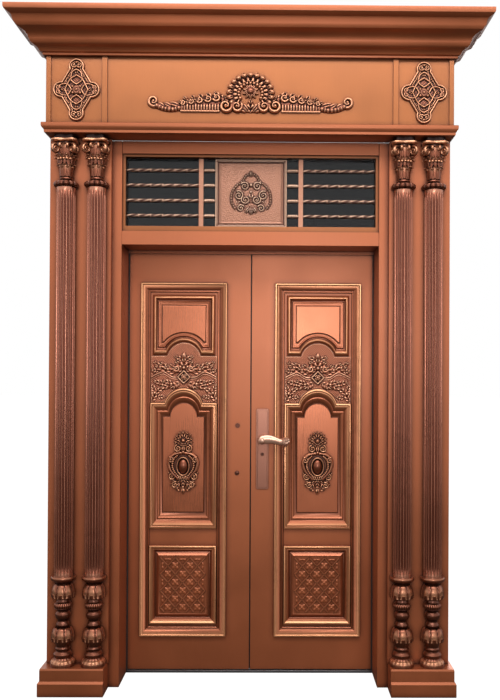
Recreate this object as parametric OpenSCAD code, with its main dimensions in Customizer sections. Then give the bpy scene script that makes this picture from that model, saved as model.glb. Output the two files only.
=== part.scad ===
// Double entrance door in a columned portal: two inward-opening leaves in a deep reveal,
// a transom light above them, paired fluted columns, and a frieze under a crown cornice.
// X runs along the door, the front faces -Y, Z is up. The origin is on the floor at the
// middle of the doorway, in the leaves' middle plane.

/* [Doorway] */
// Clear width between the jambs
clear_w = 1200; // [1000:10:1500]
// Floor to the underside of the transom bar
clear_h = 2060; // [2000:10:2200]
// Depth from the jamb's front face to the leaf's front face
reveal_d = 200; // [160:5:240]
// Thickness of the threshold
sill_t = 12; // [8:1:14]

/* [Leaves] */
// Thickness of a leaf
leaf_t = 60; // [50:1:70]
// Gap between the two leaves
leaf_gap = 6; // [6:0.5:9]
// How far a leaf runs behind the jamb's stop
leaf_lap = 11; // [9:1:12]
// Gap round a leaf at the rebate and over the threshold
edge_gap = 3; // [2:0.5:4]

/* [Frame] */
// Width of the jamb's section
jamb_w = 60; // [55:1:80]
// Depth of the rebate that takes the leaf's edge
rebate_w = 14; // [14:0.5:18]
// Height of the transom bar
bar_h = 63; // [50:1:80]
// Height of the transom sash
sash_h = 362; // [330:1:420]
// Height of the head rail over the sash
head_h = 58; // [40:1:80]

/* [Portal] */
// Gap between the clear width and the casing board
casing_inset = 43; // [38:1:50]
// Width of a casing board
casing_w = 282; // [270:1:320]
// Thickness of a casing board
casing_t = 35; // [25:1:45]
// Height of the plinth's lower step
plinth_step_h = 68; // [50:1:80]
// Full height of the plinth
plinth_h = 125; // [110:1:150]
// How far the plinth's lower step stands past the casing
plinth_out = 20; // [16:1:26]
// How far the plinth stands in front of the casing
plinth_front = 86; // [80:1:95]

/* [Columns] */
// Distance between the two columns of a pair
column_pitch = 140; // [130:1:150]
// Distance of the column axis in front of the casing board
column_stand = 20; // [12:1:26]
// Diameter of the shaft
shaft_d = 85; // [70:1:95]
// Height of the turned pedestal
base_h = 407; // [350:1:450]
// Widest radius of the pedestal
base_r = 57; // [50:0.5:60]
// Height of the capital with its collar
capital_h = 236; // [210:1:260]
// Width of the capital's top plate
abacus_w = 118; // [110:1:128]

/* [Entablature] */
// Height of the ledge
ledge_h = 45; // [35:1:60]
// How far the ledge stands past the frieze
ledge_out = 18; // [12:1:26]
// Height of the frieze
frieze_h = 305; // [280:1:360]
// How far the frieze stands in front of the casing
frieze_front = 80; // [70:1:100]
// Depth of the frieze's sunk panels
panel_sink = 8; // [4:1:12]
// Height of the cornice
cornice_h = 174; // [150:1:200]
// Projection of the cornice
cornice_out = 150; // [120:1:180]
// Width of the centre crest
crest_w = 950; // [800:10:1100]
// Height of the centre crest
crest_h = 184; // [150:1:220]
// Width of an end lozenge
lozenge_w = 214; // [190:1:225]
// Height of an end lozenge
lozenge_h = 284; // [240:1:290]

/* [Panels] */
// Height of the panel frame's lower edge over the floor
panel_z = 177; // [150:1:200]
// Height of the leaf's top rail over the panel frame
top_rail_h = 153; // [120:1:185]
// Distance from the seam to the panel frame
lock_stile = 117; // [110:1:130]
// Distance from the panel frame to the leaf's hinge edge
hinge_stile = 72; // [64:1:84]
// Width of the outer moulding
outer_mould_w = 47; // [40:1:52]
// Height that the mouldings stand proud
mould_out = 18; // [12:1:22]

/* [Hardware] */
// Height of the lever over the floor
lever_z = 1135; // [1000:5:1200]
// Length of the lever from its axis
lever_l = 132; // [110:1:150]
// Height of the key plug over the floor
key_z = 1066; // [960:2:1080]
// Length of the handle plate
plate_h = 393; // [360:1:430]
// Width of the handle plate
plate_w = 60; // [50:1:66]
// Throw of the latch bolt
latch_throw = 10; // [8:0.5:12]
// Throw of the deadbolt
dead_throw = 18; // [14:0.5:20]
// Throw of the flush bolts
flush_throw = 12; // [8:0.5:14]
// Diameter of the hinge pins
pin_d = 8; // [6:0.5:9]

/* [Hidden] */

copper = [0.74, 0.43, 0.27];
bright_copper = [0.85, 0.54, 0.32];
dark_copper = [0.45, 0.27, 0.2];
rose_copper = [0.86, 0.63, 0.53];
steel = [0.6, 0.6, 0.62];
rubber_black = [0.08, 0.08, 0.08];

// One overrun serves all cuts
over = 1;
round_fn = 64;
turn_fn = 48;
petal_fn = 4;
stem_fn = 4;
side_signs = [-1, 1];

// Planes and heights that the pieces share
half_w = clear_w / 2;
leaf_front = -leaf_t / 2;
leaf_back = leaf_t / 2;
wall_y = leaf_front - reveal_d;
casing_front = wall_y - casing_t;
column_y = casing_front - column_stand;
plinth_y = casing_front - plinth_front;
frieze_y = casing_front - frieze_front;
bar_top = clear_h + bar_h;
sash_top = bar_top + sash_h;
ledge_z = sash_top + head_h;
frieze_z = ledge_z + ledge_h;
cornice_z = frieze_z + frieze_h;
casing_in = half_w + casing_inset;
casing_out = casing_in + casing_w;
column_mid_share = 0.4716;
column_mid = casing_in + casing_w * column_mid_share;
base_z = plinth_h;
shaft_z = base_z + base_h;
capital_z = ledge_z - capital_h;

// Leaf edges and the hinge line
leaf_in = leaf_gap / 2;
leaf_outer = half_w + leaf_lap;
leaf_low = sill_t + edge_gap;
leaf_top = clear_h - edge_gap;
seal_t = 3;
stop_h = 14;
stop_t = 12;
hinge_x = half_w + (leaf_lap + rebate_w) / 2;
barrel_r = 8;
barrel_gap = 1;
hinge_y = leaf_back + barrel_r + barrel_gap;
hinge_h = 102;
hinge_plate_t = 4;
hinge_plate_w = 42;
hinge_share = [0.14, 0.52, 0.89];
run_gap = 0.05;
seat_gap = 0.3;
knuckle_h = hinge_h / 3;

// Points of an arc, and an outline moved inwards by d with mitred corners
function arc(c, r, a0, a1, n) =
    [for (k = [0:n]) [c[0] + r * cos(a0 + (a1 - a0) * k / n), c[1] + r * sin(a0 + (a1 - a0) * k / n)]];
function left_of(a, b) = [a[1] - b[1], b[0] - a[0]] / norm(b - a);
function mitre(p, a, q) = (left_of(p, a) + left_of(a, q)) / (1 + left_of(p, a) * left_of(a, q));
function inset_path(path, d) = let (n = len(path))
    [for (i = [0:n - 1]) path[i] + d * mitre(path[(i + n - 1) % n], path[i], path[(i + 1) % n])];
function lift(path, z) = [for (p = path) [p[0], p[1], z]];
function rect_path(w, z0, z1) = [[-w / 2, z0], [w / 2, z0], [w / 2, z1], [-w / 2, z1]];
function ring_faces(m, n, last) = [for (k = [0:last], i = [0:n - 1])
    [k * n + i, ((k + 1) % m) * n + i, ((k + 1) % m) * n + (i + 1) % n, k * n + (i + 1) % n]];

// A solid lofted through level rings, from the lowest to the highest
module loft(rings) {
    n = len(rings[0]);
    m = len(rings);
    caps = [[for (i = [0:n - 1]) i], [for (i = [n - 1:-1:0]) (m - 1) * n + i]];
    polyhedron(points = [for (r = rings) each r], faces = concat(caps, ring_faces(m, n, m - 2)));
}

// A moulding carried round a closed path: profile pairs are shares of its width and height
module framed_moulding(path, w, h, profile_shares) {
    rings = [for (s = profile_shares) lift(inset_path(path, s[0] * w), s[1] * h)];
    polyhedron(
        points = [for (r = rings) each r],
        faces = ring_faces(len(rings), len(path), len(rings) - 1));
}

// Local X, Y and outwards become the door's X, Z and -Y
module on_face(y) {
    translate([0, y, 0]) rotate([90, 0, 0]) children();
}

module box(low, high) {
    translate(low) cube(high - low);
}

module mirrored(side) {
    if (side < 0) mirror([1, 0, 0]) children();
    else children();
}

// Frame of the door

module jamb(side) {
    color(copper) mirrored(side) difference() {
        linear_extrude(ledge_z) polygon([
            [half_w, wall_y], [half_w + jamb_w, wall_y], [half_w + jamb_w, leaf_back],
            [half_w + rebate_w, leaf_back], [half_w + rebate_w, leaf_front - seal_t],
            [half_w, leaf_front - seal_t]]);
        for (s = anchor_share)
            translate([half_w, 0, clear_h * s]) rotate([0, 90, 0])
                cylinder(r = anchor_r, h = jamb_w + over, $fn = round_fn);
    }
}
anchor_r = 5.5;
anchor_share = [0.25, 0.75];

// A rail fills the clear width in front, and the rebates behind
module rail(z0, z1) {
    box([-half_w, wall_y + rail_back, z0], [half_w, leaf_back, z1]);
    box([-half_w - rebate_w, leaf_front - seal_t, z0], [half_w + rebate_w, leaf_back, z1]);
}
rail_back = 2;

module head_rail() {
    color(copper) rail(sash_top, ledge_z);
}

module transom_bar() {
    color(copper) difference() {
        union() {
            rail(clear_h, bar_top);
            box([-half_w, leaf_front - seal_t - stop_t, clear_h - stop_h],
                [half_w, leaf_front - seal_t, clear_h + over]);
        }
        translate([-flush_x, flush_y, clear_h - over])
            cylinder(r = flush_r + seat_gap, h = flush_throw + edge_gap + over, $fn = round_fn);
    }
}

module threshold() {
    color(steel) difference() {
        box([-half_w, leaf_front - sill_front, 0], [half_w, leaf_back, sill_t]);
        translate([-flush_x, flush_y, -over])
            cylinder(r = flush_r + seat_gap, h = sill_t + 2 * over, $fn = round_fn);
    }
}
sill_front = 10;

// Rubber strip on the stop, against the leaves' faces
module weather_seal() {
    y0 = leaf_front - seal_t;
    y1 = leaf_front - seat_gap;
    color(rubber_black) {
        for (s = side_signs) mirrored(s)
            box([half_w - seal_w, y0 - seal_w, sill_t], [half_w, y1, clear_h - stop_h]);
        box([-half_w, y0, clear_h - stop_h], [half_w, y1, clear_h - stop_h + seal_w]);
    }
}
seal_w = 5;

// Portal

module casing(side) {
    color(copper) mirrored(side)
        box([casing_in, casing_front, plinth_h], [casing_out, wall_y, ledge_z]);
}

// Plan of a block that stands against the wall, grown on its three free sides
function wall_block(x0, x1, y, grow, z) =
    [[x0, y - grow, z], [x1 + grow, y - grow, z], [x1 + grow, wall_y, z], [x0, wall_y, z]];

// Each step of the plinth: shares of its projection in plan and of its own height
low_step_shares = [[0.9, 0], [1, 0.04], [1, 0.86], [0.85, 0.93]];
high_step_shares = [[0.6, 0], [0.6, 0.86], [0.5, 1]];
function plinth_ring(grow, z) = wall_block(casing_in + plinth_toe, casing_out, plinth_y + plinth_out, grow, z);
module plinth(side) {
    color(copper) mirrored(side) loft(concat(
        [for (s = low_step_shares) plinth_ring(plinth_out * s[0], plinth_step_h * s[1])],
        [for (s = high_step_shares)
            plinth_ring(plinth_out * s[0], plinth_step_h + (plinth_h - plinth_step_h) * s[1])]));
}
plinth_toe = 6;

// The columns stand half sunk in the casing, so their backs are flat
module column_at(side, place) {
    mirrored(side) translate([column_mid + place * column_pitch / 2, column_y, 0]) difference() {
        children();
        translate([-column_pitch, column_stand, -over])
            cube([2 * column_pitch, column_pitch, cornice_z]);
    }
}

// Pedestal radii as shares of its widest radius, and heights as shares of its height
base_shares = [
    [0, 0], [0.97, 0], [0.97, 0.045], [0.9, 0.07], [0.72, 0.085], [0.8, 0.12], [0.74, 0.145],
    [0.62, 0.16], [0.6, 0.19], [0.68, 0.22], [0.78, 0.26], [0.87, 0.31], [0.9, 0.35], [0.88, 0.385],
    [0.7, 0.4], [0.5, 0.415], [0.48, 0.45], [0.44, 0.49], [0.46, 0.52], [0.57, 0.54], [0.57, 0.585],
    [0.5, 0.605], [0.6, 0.625], [0.74, 0.65], [0.74, 0.69], [0.58, 0.715], [0.53, 0.75], [0.66, 0.775],
    [0.8, 0.8], [0.87, 0.85], [0.87, 0.88], [0.8, 0.91], [0.63, 0.925], [0.63, 0.94], [0.9, 0.955],
    [0.98, 0.97], [0.98, 0.99], [0.93, 1], [0, 1]];
module base(side, place) {
    color(copper) column_at(side, place) translate([0, 0, base_z])
        rotate_extrude($fn = turn_fn)
            polygon([for (s = base_shares) [s[0] * base_r, s[1] * base_h]]);
}

flutes = 20;
flute_share = 0.125;
module shaft(side, place) {
    r = shaft_d / 2;
    color(bright_copper) column_at(side, place) translate([0, 0, shaft_z])
        linear_extrude(capital_z - shaft_z) difference() {
            circle(r, $fn = turn_fn);
            for (k = [0:flutes - 1])
                rotate(k * 360 / flutes) translate([r, 0]) circle(r * flute_share, $fn = turn_fn);
        }
}

// Capital: lobed collar, necking, cone, two rows of leaves, corner scrolls and top plate
bell_shares = [
    [0, 0], [0.72, 0], [0.72, 0.125], [0.46, 0.14], [0.5, 0.175], [0.46, 0.21], [0.5, 0.26],
    [0.63, 0.36], [0.73, 0.445], [0.64, 0.49], [0.72, 0.66], [0.84, 0.87], [0, 0.87]];
collar_lobes = 9;
collar_shares = [0.005, 0.117];
collar_r_share = 0.96;
collar_depth_share = 0.08;
capital_leaf_rows = [[0.435, 0.18, 5, 0], [0.56, 0.28, 4, 0.5]];
abacus_shares = [0.845, 0.94];
block_share = 0.86;
bell_fn = 8;
module capital(side, place) {
    r = abacus_w / 2;
    color(dark_copper) column_at(side, place) translate([0, 0, capital_z]) union() {
        rotate_extrude($fn = bell_fn) polygon([for (s = bell_shares) [s[0] * r, s[1] * capital_h]]);
        translate([0, 0, collar_shares[0] * capital_h])
            linear_extrude((collar_shares[1] - collar_shares[0]) * capital_h)
                polygon([for (k = [0:2 * collar_lobes - 1])
                    let (a = (k + 0.3) * 180 / collar_lobes,
                        q = r * collar_r_share * (1 - collar_depth_share * (k % 2)))
                    [q * cos(a), q * sin(a)]]);
        for (row = capital_leaf_rows, k = [0:row[2] - 1])
            rotate(-180 + (k + row[3]) * 180 / (row[2] - 1 + 2 * row[3]) )
                capital_leaf(capital_h * row[0], capital_h * row[1]);
        for (a = [-135, -45]) rotate(a) corner_scroll(r);
        top_block(r, abacus_shares[0], abacus_shares[1]);
        top_block(r * block_share, abacus_shares[1] - run_gap, 1);
    }
}

// A square plate of half width r between two shares of the capital's height
module top_block(r, low_share, high_share) {
    translate([-r, -r, capital_h * low_share])
        cube([2 * r, r + column_stand / 2, capital_h * (high_share - low_share)]);
}

// A leaf that hugs the bell and curls outwards at its tip
capital_leaf_shares = [[0.46, 0, 0.24], [0.66, 0.6, 0.5], [0.9, 0.88, 0.3]];
module capital_leaf(z, l) {
    r = abacus_w / 2;
    t = r * leaf_flat_share;
    hull() for (q = capital_leaf_shares)
        translate([q[0] * r, 0, z + q[1] * l]) cube([t, q[2] * r, t], center = true);
}
leaf_flat_share = 0.12;

// A volute under each front corner of the top plate
scroll_seat_share = 0.98;
scroll_r_share = 0.22;
scroll_z_share = 0.72;
module corner_scroll(r) {
    translate([r * scroll_seat_share, 0, capital_h * scroll_z_share]) hull() {
        rotate([90, 0, 0]) cylinder(r = r * scroll_r_share, h = r * scroll_r_share, center = true, $fn = 8);
        translate([-r * scroll_r_share * 2, 0, r * scroll_r_share])
            cube(r * scroll_r_share, center = true);
    }
}

// Entablature

function wall_ring(grow, z) = [
    [-casing_out - grow, frieze_y - grow, z], [casing_out + grow, frieze_y - grow, z],
    [casing_out + grow, wall_y, z], [-casing_out - grow, wall_y, z]];

ledge_shares = [[0, 0], [0.35, 0.06], [0.4, 0.3], [0.9, 0.55], [1, 0.7], [1, 0.95], [0.9, 1]];
module ledge() {
    color(copper) loft([for (s = ledge_shares) wall_ring(s[0] * ledge_out, ledge_z + s[1] * ledge_h)]);
}

strip_shares = [[0.0, 0.701], [0.727, 0.977]];
module frieze_board() {
    color(bright_copper) difference() {
        box([-casing_out, frieze_y, frieze_z], [casing_out, wall_y, cornice_z]);
        box([-casing_out * strip_shares[0][1], frieze_y - over, frieze_z - over],
            [casing_out * strip_shares[0][1], frieze_y + panel_sink, cornice_z + over]);
        for (s = side_signs) mirrored(s)
            box([casing_out * strip_shares[1][0], frieze_y - over, frieze_z - over],
                [casing_out * strip_shares[1][1], frieze_y + panel_sink, cornice_z + over]);
    }
}

// Crown profile: shares of the projection and of the height
crown_shares = [
    [0.0, 0], [0.08, 0.001], [0.095, 0.045], [0.155, 0.07], [0.2, 0.14], [0.265, 0.185], [0.335, 0.207],
    [0.375, 0.24], [0.415, 0.32], [0.44, 0.39], [0.5, 0.46], [0.6, 0.51], [0.7, 0.545], [0.77, 0.63],
    [0.805, 0.75], [0.835, 0.79], [0.93, 0.83], [0.985, 0.87], [1, 0.91], [1, 1]];
module cornice() {
    color(copper) loft([for (s = crown_shares) wall_ring(s[0] * cornice_out, cornice_z + s[1] * cornice_h)]);
}

// Carving: petals, stems and scrolls as sharp ridges that lie on a flat back

module peak(r, h, n) {
    cylinder(r1 = r, r2 = 0, h = h, $fn = n);
}

// A petal from the point p along the angle a, widest past its middle
module petal(p, a, l, w, h) {
    translate([p[0], p[1], 0]) rotate(a) hull() {
        peak(w * petal_root_share, h * petal_low_share, petal_fn);
        translate([l * petal_belly_share, 0, 0]) peak(w / 2, h, petal_fn);
        translate([l, 0, 0]) peak(w * petal_tip_share, h * petal_tip_h_share, petal_fn);
    }
}
petal_root_share = 0.22;
petal_belly_share = 0.6;
petal_tip_share = 0.1;
petal_low_share = 0.7;
petal_tip_h_share = 0.5;

// A ridge through points, thick at its start and thin at its end
module stem(points, r0, r1) {
    n = len(points) - 1;
    for (k = [0:n - 1]) hull() {
        for (j = [k, k + 1])
            let (r = r0 + (r1 - r0) * j / n)
                translate([points[j][0], points[j][1], 0]) peak(r, r, stem_fn);
    }
}

// A round boss of unit size with a flat back
module dome(size, n) {
    scale(size) rotate_extrude($fn = n)
        polygon(concat([[0, 0]], [for (k = [0:dome_steps]) [cos(90 * k / dome_steps), sin(90 * k / dome_steps)]]));
}
dome_steps = 3;

// Points of a scroll that winds from radius r0 to r1 about c
function scroll_path(c, r0, r1, a0, turn, n) = [for (k = [0:n])
    [c[0] + (r0 + (r1 - r0) * k / n) * cos(a0 + turn * k / n),
     c[1] + (r0 + (r1 - r0) * k / n) * sin(a0 + turn * k / n)]];

module both_ways() {
    children();
    mirror([1, 0, 0]) children();
}

// Crest: fan of petals in the middle, volutes, gadrooned strips and curling tails
crest_fan = 9;
crest_out = 22;
crest_back = 5;
crest_stem_shares = [
    [0.0, -0.3], [0.14, -0.38], [0.3, -0.3], [0.45, -0.24], [0.62, -0.2], [0.76, -0.08], [0.88, 0.02]];
crest_petal_shares = [
    [0.14, -0.34, 75, 0.32, 0.2], [0.3, -0.28, 60, 0.5, 0.24], [0.4, -0.24, 110, 0.36, 0.2],
    [0.48, -0.22, 50, 0.44, 0.22], [0.6, -0.2, 75, 0.4, 0.2], [0.7, -0.12, 40, 0.42, 0.2],
    [0.56, -0.22, -30, 0.36, 0.18], [0.72, -0.12, -25, 0.42, 0.18], [0.22, -0.36, -40, 0.3, 0.18]];
module frieze_crest() {
    w = crest_w / 2;
    h = crest_h;
    color(dark_copper) translate([0, 0, (frieze_z + cornice_z) / 2 - crest_drop]) on_face(frieze_y + panel_sink) {
            for (k = [0:crest_fan - 1])
                petal([0, -h * fan_low_share], fan_turn + k * (180 - 2 * fan_turn) / (crest_fan - 1),
                    h * fan_l_share, h * fan_w_share,
                    crest_out * (1 - abs(k - (crest_fan - 1) / 2) * fan_fall_share));
            both_ways() {
                stem([for (s = crest_stem_shares) [s[0] * w, s[1] * h]], crest_out * stem_share,
                    crest_out * stem_end_share);
                stem(scroll_path([volute_share * w, -h * fan_low_share], h * volute_r_share,
                    h * volute_end_share, -60, 430, 6), crest_out * stem_share, crest_out * stem_end_share);
                stem(scroll_path([tail_share * w, h * tail_z_share], h * volute_r_share,
                    h * volute_end_share, -150, 400, 6), crest_out * stem_end_share, crest_back);
                for (s = crest_petal_shares)
                    petal([s[0] * w, s[1] * h], s[2], s[3] * h, s[4] * h, crest_out * petal_low_share);
            }
        }
}
crest_drop = 8;
fan_turn = 10;
fan_low_share = 0.18;
fan_l_share = 0.62;
fan_w_share = 0.17;
fan_fall_share = 0.08;
stem_share = 0.6;
stem_end_share = 0.4;
volute_share = 0.135;
volute_r_share = 0.17;
volute_end_share = 0.05;
tail_share = 0.91;
tail_z_share = 0.17;

// Lozenge: four-lobed rim with scrolls and a cross of petals
lozenge_out = 16;
rim_share = 0.045;
lozenge_path_shares = [
    [0, -0.5], [0.15, -0.35], [0.29, -0.27], [0.33, -0.11], [0.5, 0],
    [0.33, 0.11], [0.29, 0.27], [0.15, 0.35], [0, 0.5]];
module lozenge(side) {
    w = lozenge_w;
    h = lozenge_h;
    x = casing_out * (strip_shares[1][0] + strip_shares[1][1]) / 2;
    color(dark_copper) translate([side * x, 0, (frieze_z + cornice_z) / 2]) on_face(frieze_y + panel_sink) union() {
            both_ways() {
                stem([for (s = lozenge_path_shares) [s[0] * w, s[1] * h]], w * rim_share, w * rim_share);
                for (s = side_signs) {
                    stem(scroll_path([w * curl_x_share, s * h * curl_y_share], w * curl_r_share,
                        w * curl_end_share, s * 100, s * -360, 4), w * rim_share, w * rim_share * stem_share);
                    petal([w * curl_end_share, 0], s * 45, w * cross_l_share, w * cross_w_share, lozenge_out);
                }
                petal([w * curl_end_share, 0], 0, w * side_l_share, w * cross_w_share, lozenge_out);
            }
            for (s = side_signs) petal([0, 0], s * 90, h * up_l_share, w * cross_w_share, lozenge_out);
            dome([lozenge_out, lozenge_out, lozenge_out], 10);
        }
}
curl_x_share = 0.16;
curl_y_share = 0.18;
curl_r_share = 0.11;
curl_end_share = 0.03;
cross_l_share = 0.24;
cross_w_share = 0.12;
side_l_share = 0.42;
up_l_share = 0.44;

// Transom light

sash_front = 15;
sash_d = 50;
sash_side = 14;
sash_low = 26;
sash_up = 12;
glass_t = 6;
glass_set = 14;
glass_lap = 6;
light_x = half_w - sash_side;
light_low = bar_top + sash_low;
light_top = sash_top - sash_up;
sash_y = wall_y + sash_front;
glass_y = sash_y + glass_set;
rod_d = 13;
rod_clear = 4;
rod_y = glass_y + glass_t + rod_clear + rod_d / 2;
rod_count = 4;
rear_clear = 4.5;
strip_in = 224;
strip_w = 22;
strip_t = 12;
relief_half = 170;
relief_t = 10;
rear_y = rod_y + strip_t / 2 + rear_clear;

// Space of a pane from the plane y, with its lap in the sash
module pane(y) {
    box([-light_x - glass_lap, y, light_low - glass_lap],
        [light_x + glass_lap, y + glass_t, light_top + glass_lap]);
}

module transom_sash() {
    color(bright_copper) difference() {
        box([-half_w, sash_y, bar_top], [half_w, sash_y + sash_d, sash_top]);
        box([-light_x, sash_y - over, light_low], [light_x, sash_y + sash_d + over, light_top]);
        for (y = [glass_y, rear_y]) pane(y);
    }
}

// A clear pane in front of the rods and a dark one behind them
module transom_glass() {
    color([0.1, 0.1, 0.12]) for (y = [glass_y, rear_y]) pane(y);
}

rod_first_share = 0.17;
rod_pitch_share = 0.2207;
function rod_z(k) = light_low + (light_top - light_low) * (rod_first_share + k * rod_pitch_share);
module rod(x0, x1, rings) {
    l = x1 - x0;
    translate([x0, 0, 0]) rotate([0, 90, 0]) {
        cylinder(d = rod_d, h = l, $fn = round_fn);
        for (k = [1:rings])
            translate([0, 0, l * k / (rings + 1) - rod_d / 2])
                cylinder(d = rod_d * collar_share, h = rod_d, $fn = round_fn);
    }
}
collar_share = 1.3;

module transom_rods() {
    color(bright_copper) for (k = [0:rod_count - 1], s = side_signs) mirrored(s)
        translate([0, rod_y, rod_z(k)]) {
            rod(strip_in + strip_w, light_x, 5);
            rod(relief_half, strip_in, 1);
        }
}

module transom_strips() {
    color(bright_copper) for (s = side_signs) mirrored(s)
        box([strip_in, rod_y - strip_t / 2, light_low], [strip_in + strip_w, rod_y + strip_t / 2, light_top]);
}

// Centre relief: framed plate with a palmette over two scrolls
relief_mould_w = 30;
relief_shares = [[0, 0], [0, 0.7], [0.2, 1], [0.45, 1], [0.6, 0.5], [1, 0.35], [1, 0]];
relief_petals = 7;
module relief_ornament(w, h) {
    for (k = [0:relief_petals - 1])
        petal([0, -h * fan_low_share], 15 + k * 150 / (relief_petals - 1), h * relief_l_share,
            w * relief_w_share, relief_t);
    both_ways() {
        stem(scroll_path([w * relief_curl_share, -h * relief_curl_share], w * curl_r_share,
            w * curl_end_share, 60, -420, 8), relief_t * petal_low_share, relief_t * stem_end_share);
        petal([w * curl_end_share, -h * relief_curl_share], -55, h * side_l_share * stem_share,
            w * relief_w_share, relief_t);
    }
}
relief_l_share = 0.46;
relief_w_share = 0.11;
relief_curl_share = 0.22;
module transom_relief() {
    w = 2 * relief_half;
    h = light_top - light_low;
    color(bright_copper) translate([0, 0, light_low]) on_face(rod_y + strip_t / 2) union() {
        translate([-relief_half, 0, 0]) cube([w, h, relief_t / 2]);
        translate([0, 0, relief_t / 2 - seat_gap])
            framed_moulding(rect_path(w - over, over, h - over), relief_mould_w, relief_t, relief_shares);
        translate([0, h / 2, relief_t / 2 - seat_gap])
            relief_ornament(w - 2 * relief_mould_w, h - 2 * relief_mould_w);
    }
}

// Hinges: two knuckles on the frame, one on the leaf, on a pin

module knuckle(z) {
    translate([hinge_x, hinge_y, z]) cylinder(r = barrel_r, h = knuckle_h - seat_gap, $fn = round_fn);
}

function hinge_z(k) = clear_h * hinge_share[k] - hinge_h / 2;
hinge_clear = barrel_r + barrel_gap;

module hinge_frame(side) {
    color(steel) mirrored(side) for (k = [0:len(hinge_share) - 1]) translate([0, 0, hinge_z(k)])
        difference() {
            union() {
                box([hinge_x + hinge_clear, leaf_back, 0],
                    [half_w + jamb_w, leaf_back + hinge_plate_t, hinge_h - seat_gap]);
                for (j = [0, 2]) {
                    knuckle(j * knuckle_h);
                    box([hinge_x, leaf_back, j * knuckle_h],
                        [hinge_x + hinge_clear + over, leaf_back + hinge_plate_t, (j + 1) * knuckle_h - seat_gap]);
                }
            }
            translate([hinge_x, hinge_y, -over]) cylinder(d = pin_d, h = hinge_h + 2 * over, $fn = round_fn);
        }
}

module hinge_leaf(side) {
    color(steel) mirrored(side) for (k = [0:len(hinge_share) - 1]) translate([0, 0, hinge_z(k)])
        difference() {
            union() {
                box([hinge_x - hinge_clear - hinge_plate_w, leaf_back, 0],
                    [hinge_x - hinge_clear, leaf_back + hinge_plate_t, hinge_h - seat_gap]);
                knuckle(knuckle_h);
                box([hinge_x - hinge_clear - over, leaf_back + seat_gap, knuckle_h],
                    [hinge_x, leaf_back + hinge_plate_t, 2 * knuckle_h - seat_gap]);
            }
            translate([hinge_x, hinge_y, -over])
                cylinder(d = pin_d + 2 * run_gap, h = hinge_h + 2 * over, $fn = round_fn);
        }
}

module hinge_pins() {
    color(steel) for (s = side_signs) mirrored(s) for (k = [0:len(hinge_share) - 1])
        translate([hinge_x, hinge_y, hinge_z(k)]) {
            cylinder(d = pin_d, h = hinge_h, $fn = round_fn);
            translate([0, 0, hinge_h - seat_gap]) cylinder(r = barrel_r, h = pin_head, $fn = round_fn);
        }
}
pin_head = 5;

// Leaves

panel_w = leaf_outer - lock_stile - hinge_stile;
panel_mid = lock_stile + panel_w / 2;
panel_h = leaf_top - panel_z - top_rail_h;

// Inner frames: heights are shares of the panel frame, widths leave a margin at its sides,
// and each arch is a share of its panel's width
upper_arch_share = 86 / 305;
tall_arch_share = 97 / 326;
tall_in_arch_share = 64 / 326;
upper_low_share = 0.79386;
tall_shoulder_share = 0.65953;
tall_low_share = 0.304;
low_top_share = 0.25594;
upper_side = 11.5;
upper_gap = 12;
frame_side = 1;
frame_low = 14;
upper_rise = 21;
tall_rise = 26;
upper_w = panel_w - 2 * (outer_mould_w + upper_side);
upper_top = panel_z + panel_h - outer_mould_w - upper_gap;
upper_low = panel_z + panel_h * upper_low_share;
upper_arch_z = upper_low - upper_rise;
upper_arch_r = upper_w * upper_arch_share;
upper_in_side = 48;
upper_in_top = 55;
upper_in_crown = 51;
upper_in_rise = 47;
upper_in_ledge = 5;
tall_w = panel_w - 2 * (outer_mould_w + frame_side);
tall_low = panel_z + panel_h * tall_low_share;
tall_shoulder = panel_z + panel_h * tall_shoulder_share;
tall_arch_z = tall_shoulder - tall_rise;
tall_arch_r = tall_w * tall_arch_share;
tall_in_side = 65;
tall_in_low = 83;
tall_in_shoulder = 72;
tall_in_drop = 43;
tall_in_arch_r = tall_w * tall_in_arch_share;
low_w = tall_w;
low_z = panel_z + outer_mould_w + frame_low;
low_top = panel_z + panel_h * low_top_share;
low_in = 50;

// Lattice panel: crossing ribs and a boss in each diamond, on the lowest field
lattice_side = 4.5;
lattice_end = 8.5;
lattice_w = low_w - 2 * (low_in + lattice_side);
lattice_h = low_top - low_z - 2 * (low_in + lattice_end);
lattice_z = low_z + low_in + lattice_end;
lattice_cols = 3;
lattice_rows = 3;
lattice_pitch_share = 1.12;
rib_w = 5;
rib_h = 3;
lattice_edge = 1.5;
boss_share = 0.08;
module lattice() {
    dx = lattice_w / lattice_cols;
    dz = dx * lattice_pitch_share;
    a = atan2(dz, dx);
    n = lattice_cols + lattice_rows;
    intersection() {
        translate([-lattice_w / 2 - lattice_edge, -lattice_edge, -over])
            cube([lattice_w + 2 * lattice_edge, lattice_h + 2 * lattice_edge, rib_h + over]);
        translate([0, lattice_h - dz / 2, -over]) for (k = [-n:n], s = side_signs)
            translate([k * dx, 0, 0]) rotate(s * a)
                translate([-2 * lattice_h, -rib_w / 2, 0]) cube([4 * lattice_h, rib_w, rib_h + over]);
    }
    for (j = [0:lattice_rows - 1]) {
        for (i = side_signs) diamond_boss(i * dx / 2, lattice_h - dz * (j + 1 / 2), dx);
        for (i = [-1:1]) diamond_boss(i * dx, lattice_h - dz * (j + 1), dx);
    }
}

module diamond_boss(x, z, dx) {
    translate([x, z, -over]) cylinder(r = dx * boss_share, h = rib_h + over, $fn = turn_fn);
}

// A leaf box, cut for what it carries
module leaf(side) {
    color(copper) difference() {
        mirrored(side) box([leaf_in, leaf_front, leaf_low], [leaf_outer, leaf_back, leaf_top]);
        if (side < 0) left_pockets();
        else right_pockets();
    }
}

flush_x = 32;
flush_y = 4;
flush_r = 6;
flush_l = 160;
strike_t = 2;
strike_w = 26;
strike_drop = 50;
strike_z = key_z - strike_drop;
strike_h = 170;
viewer_x = 64;
viewer_z = 1206;
viewer_r = 7;
viewer_head_r = 11;
viewer_head_t = 4;

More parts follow.
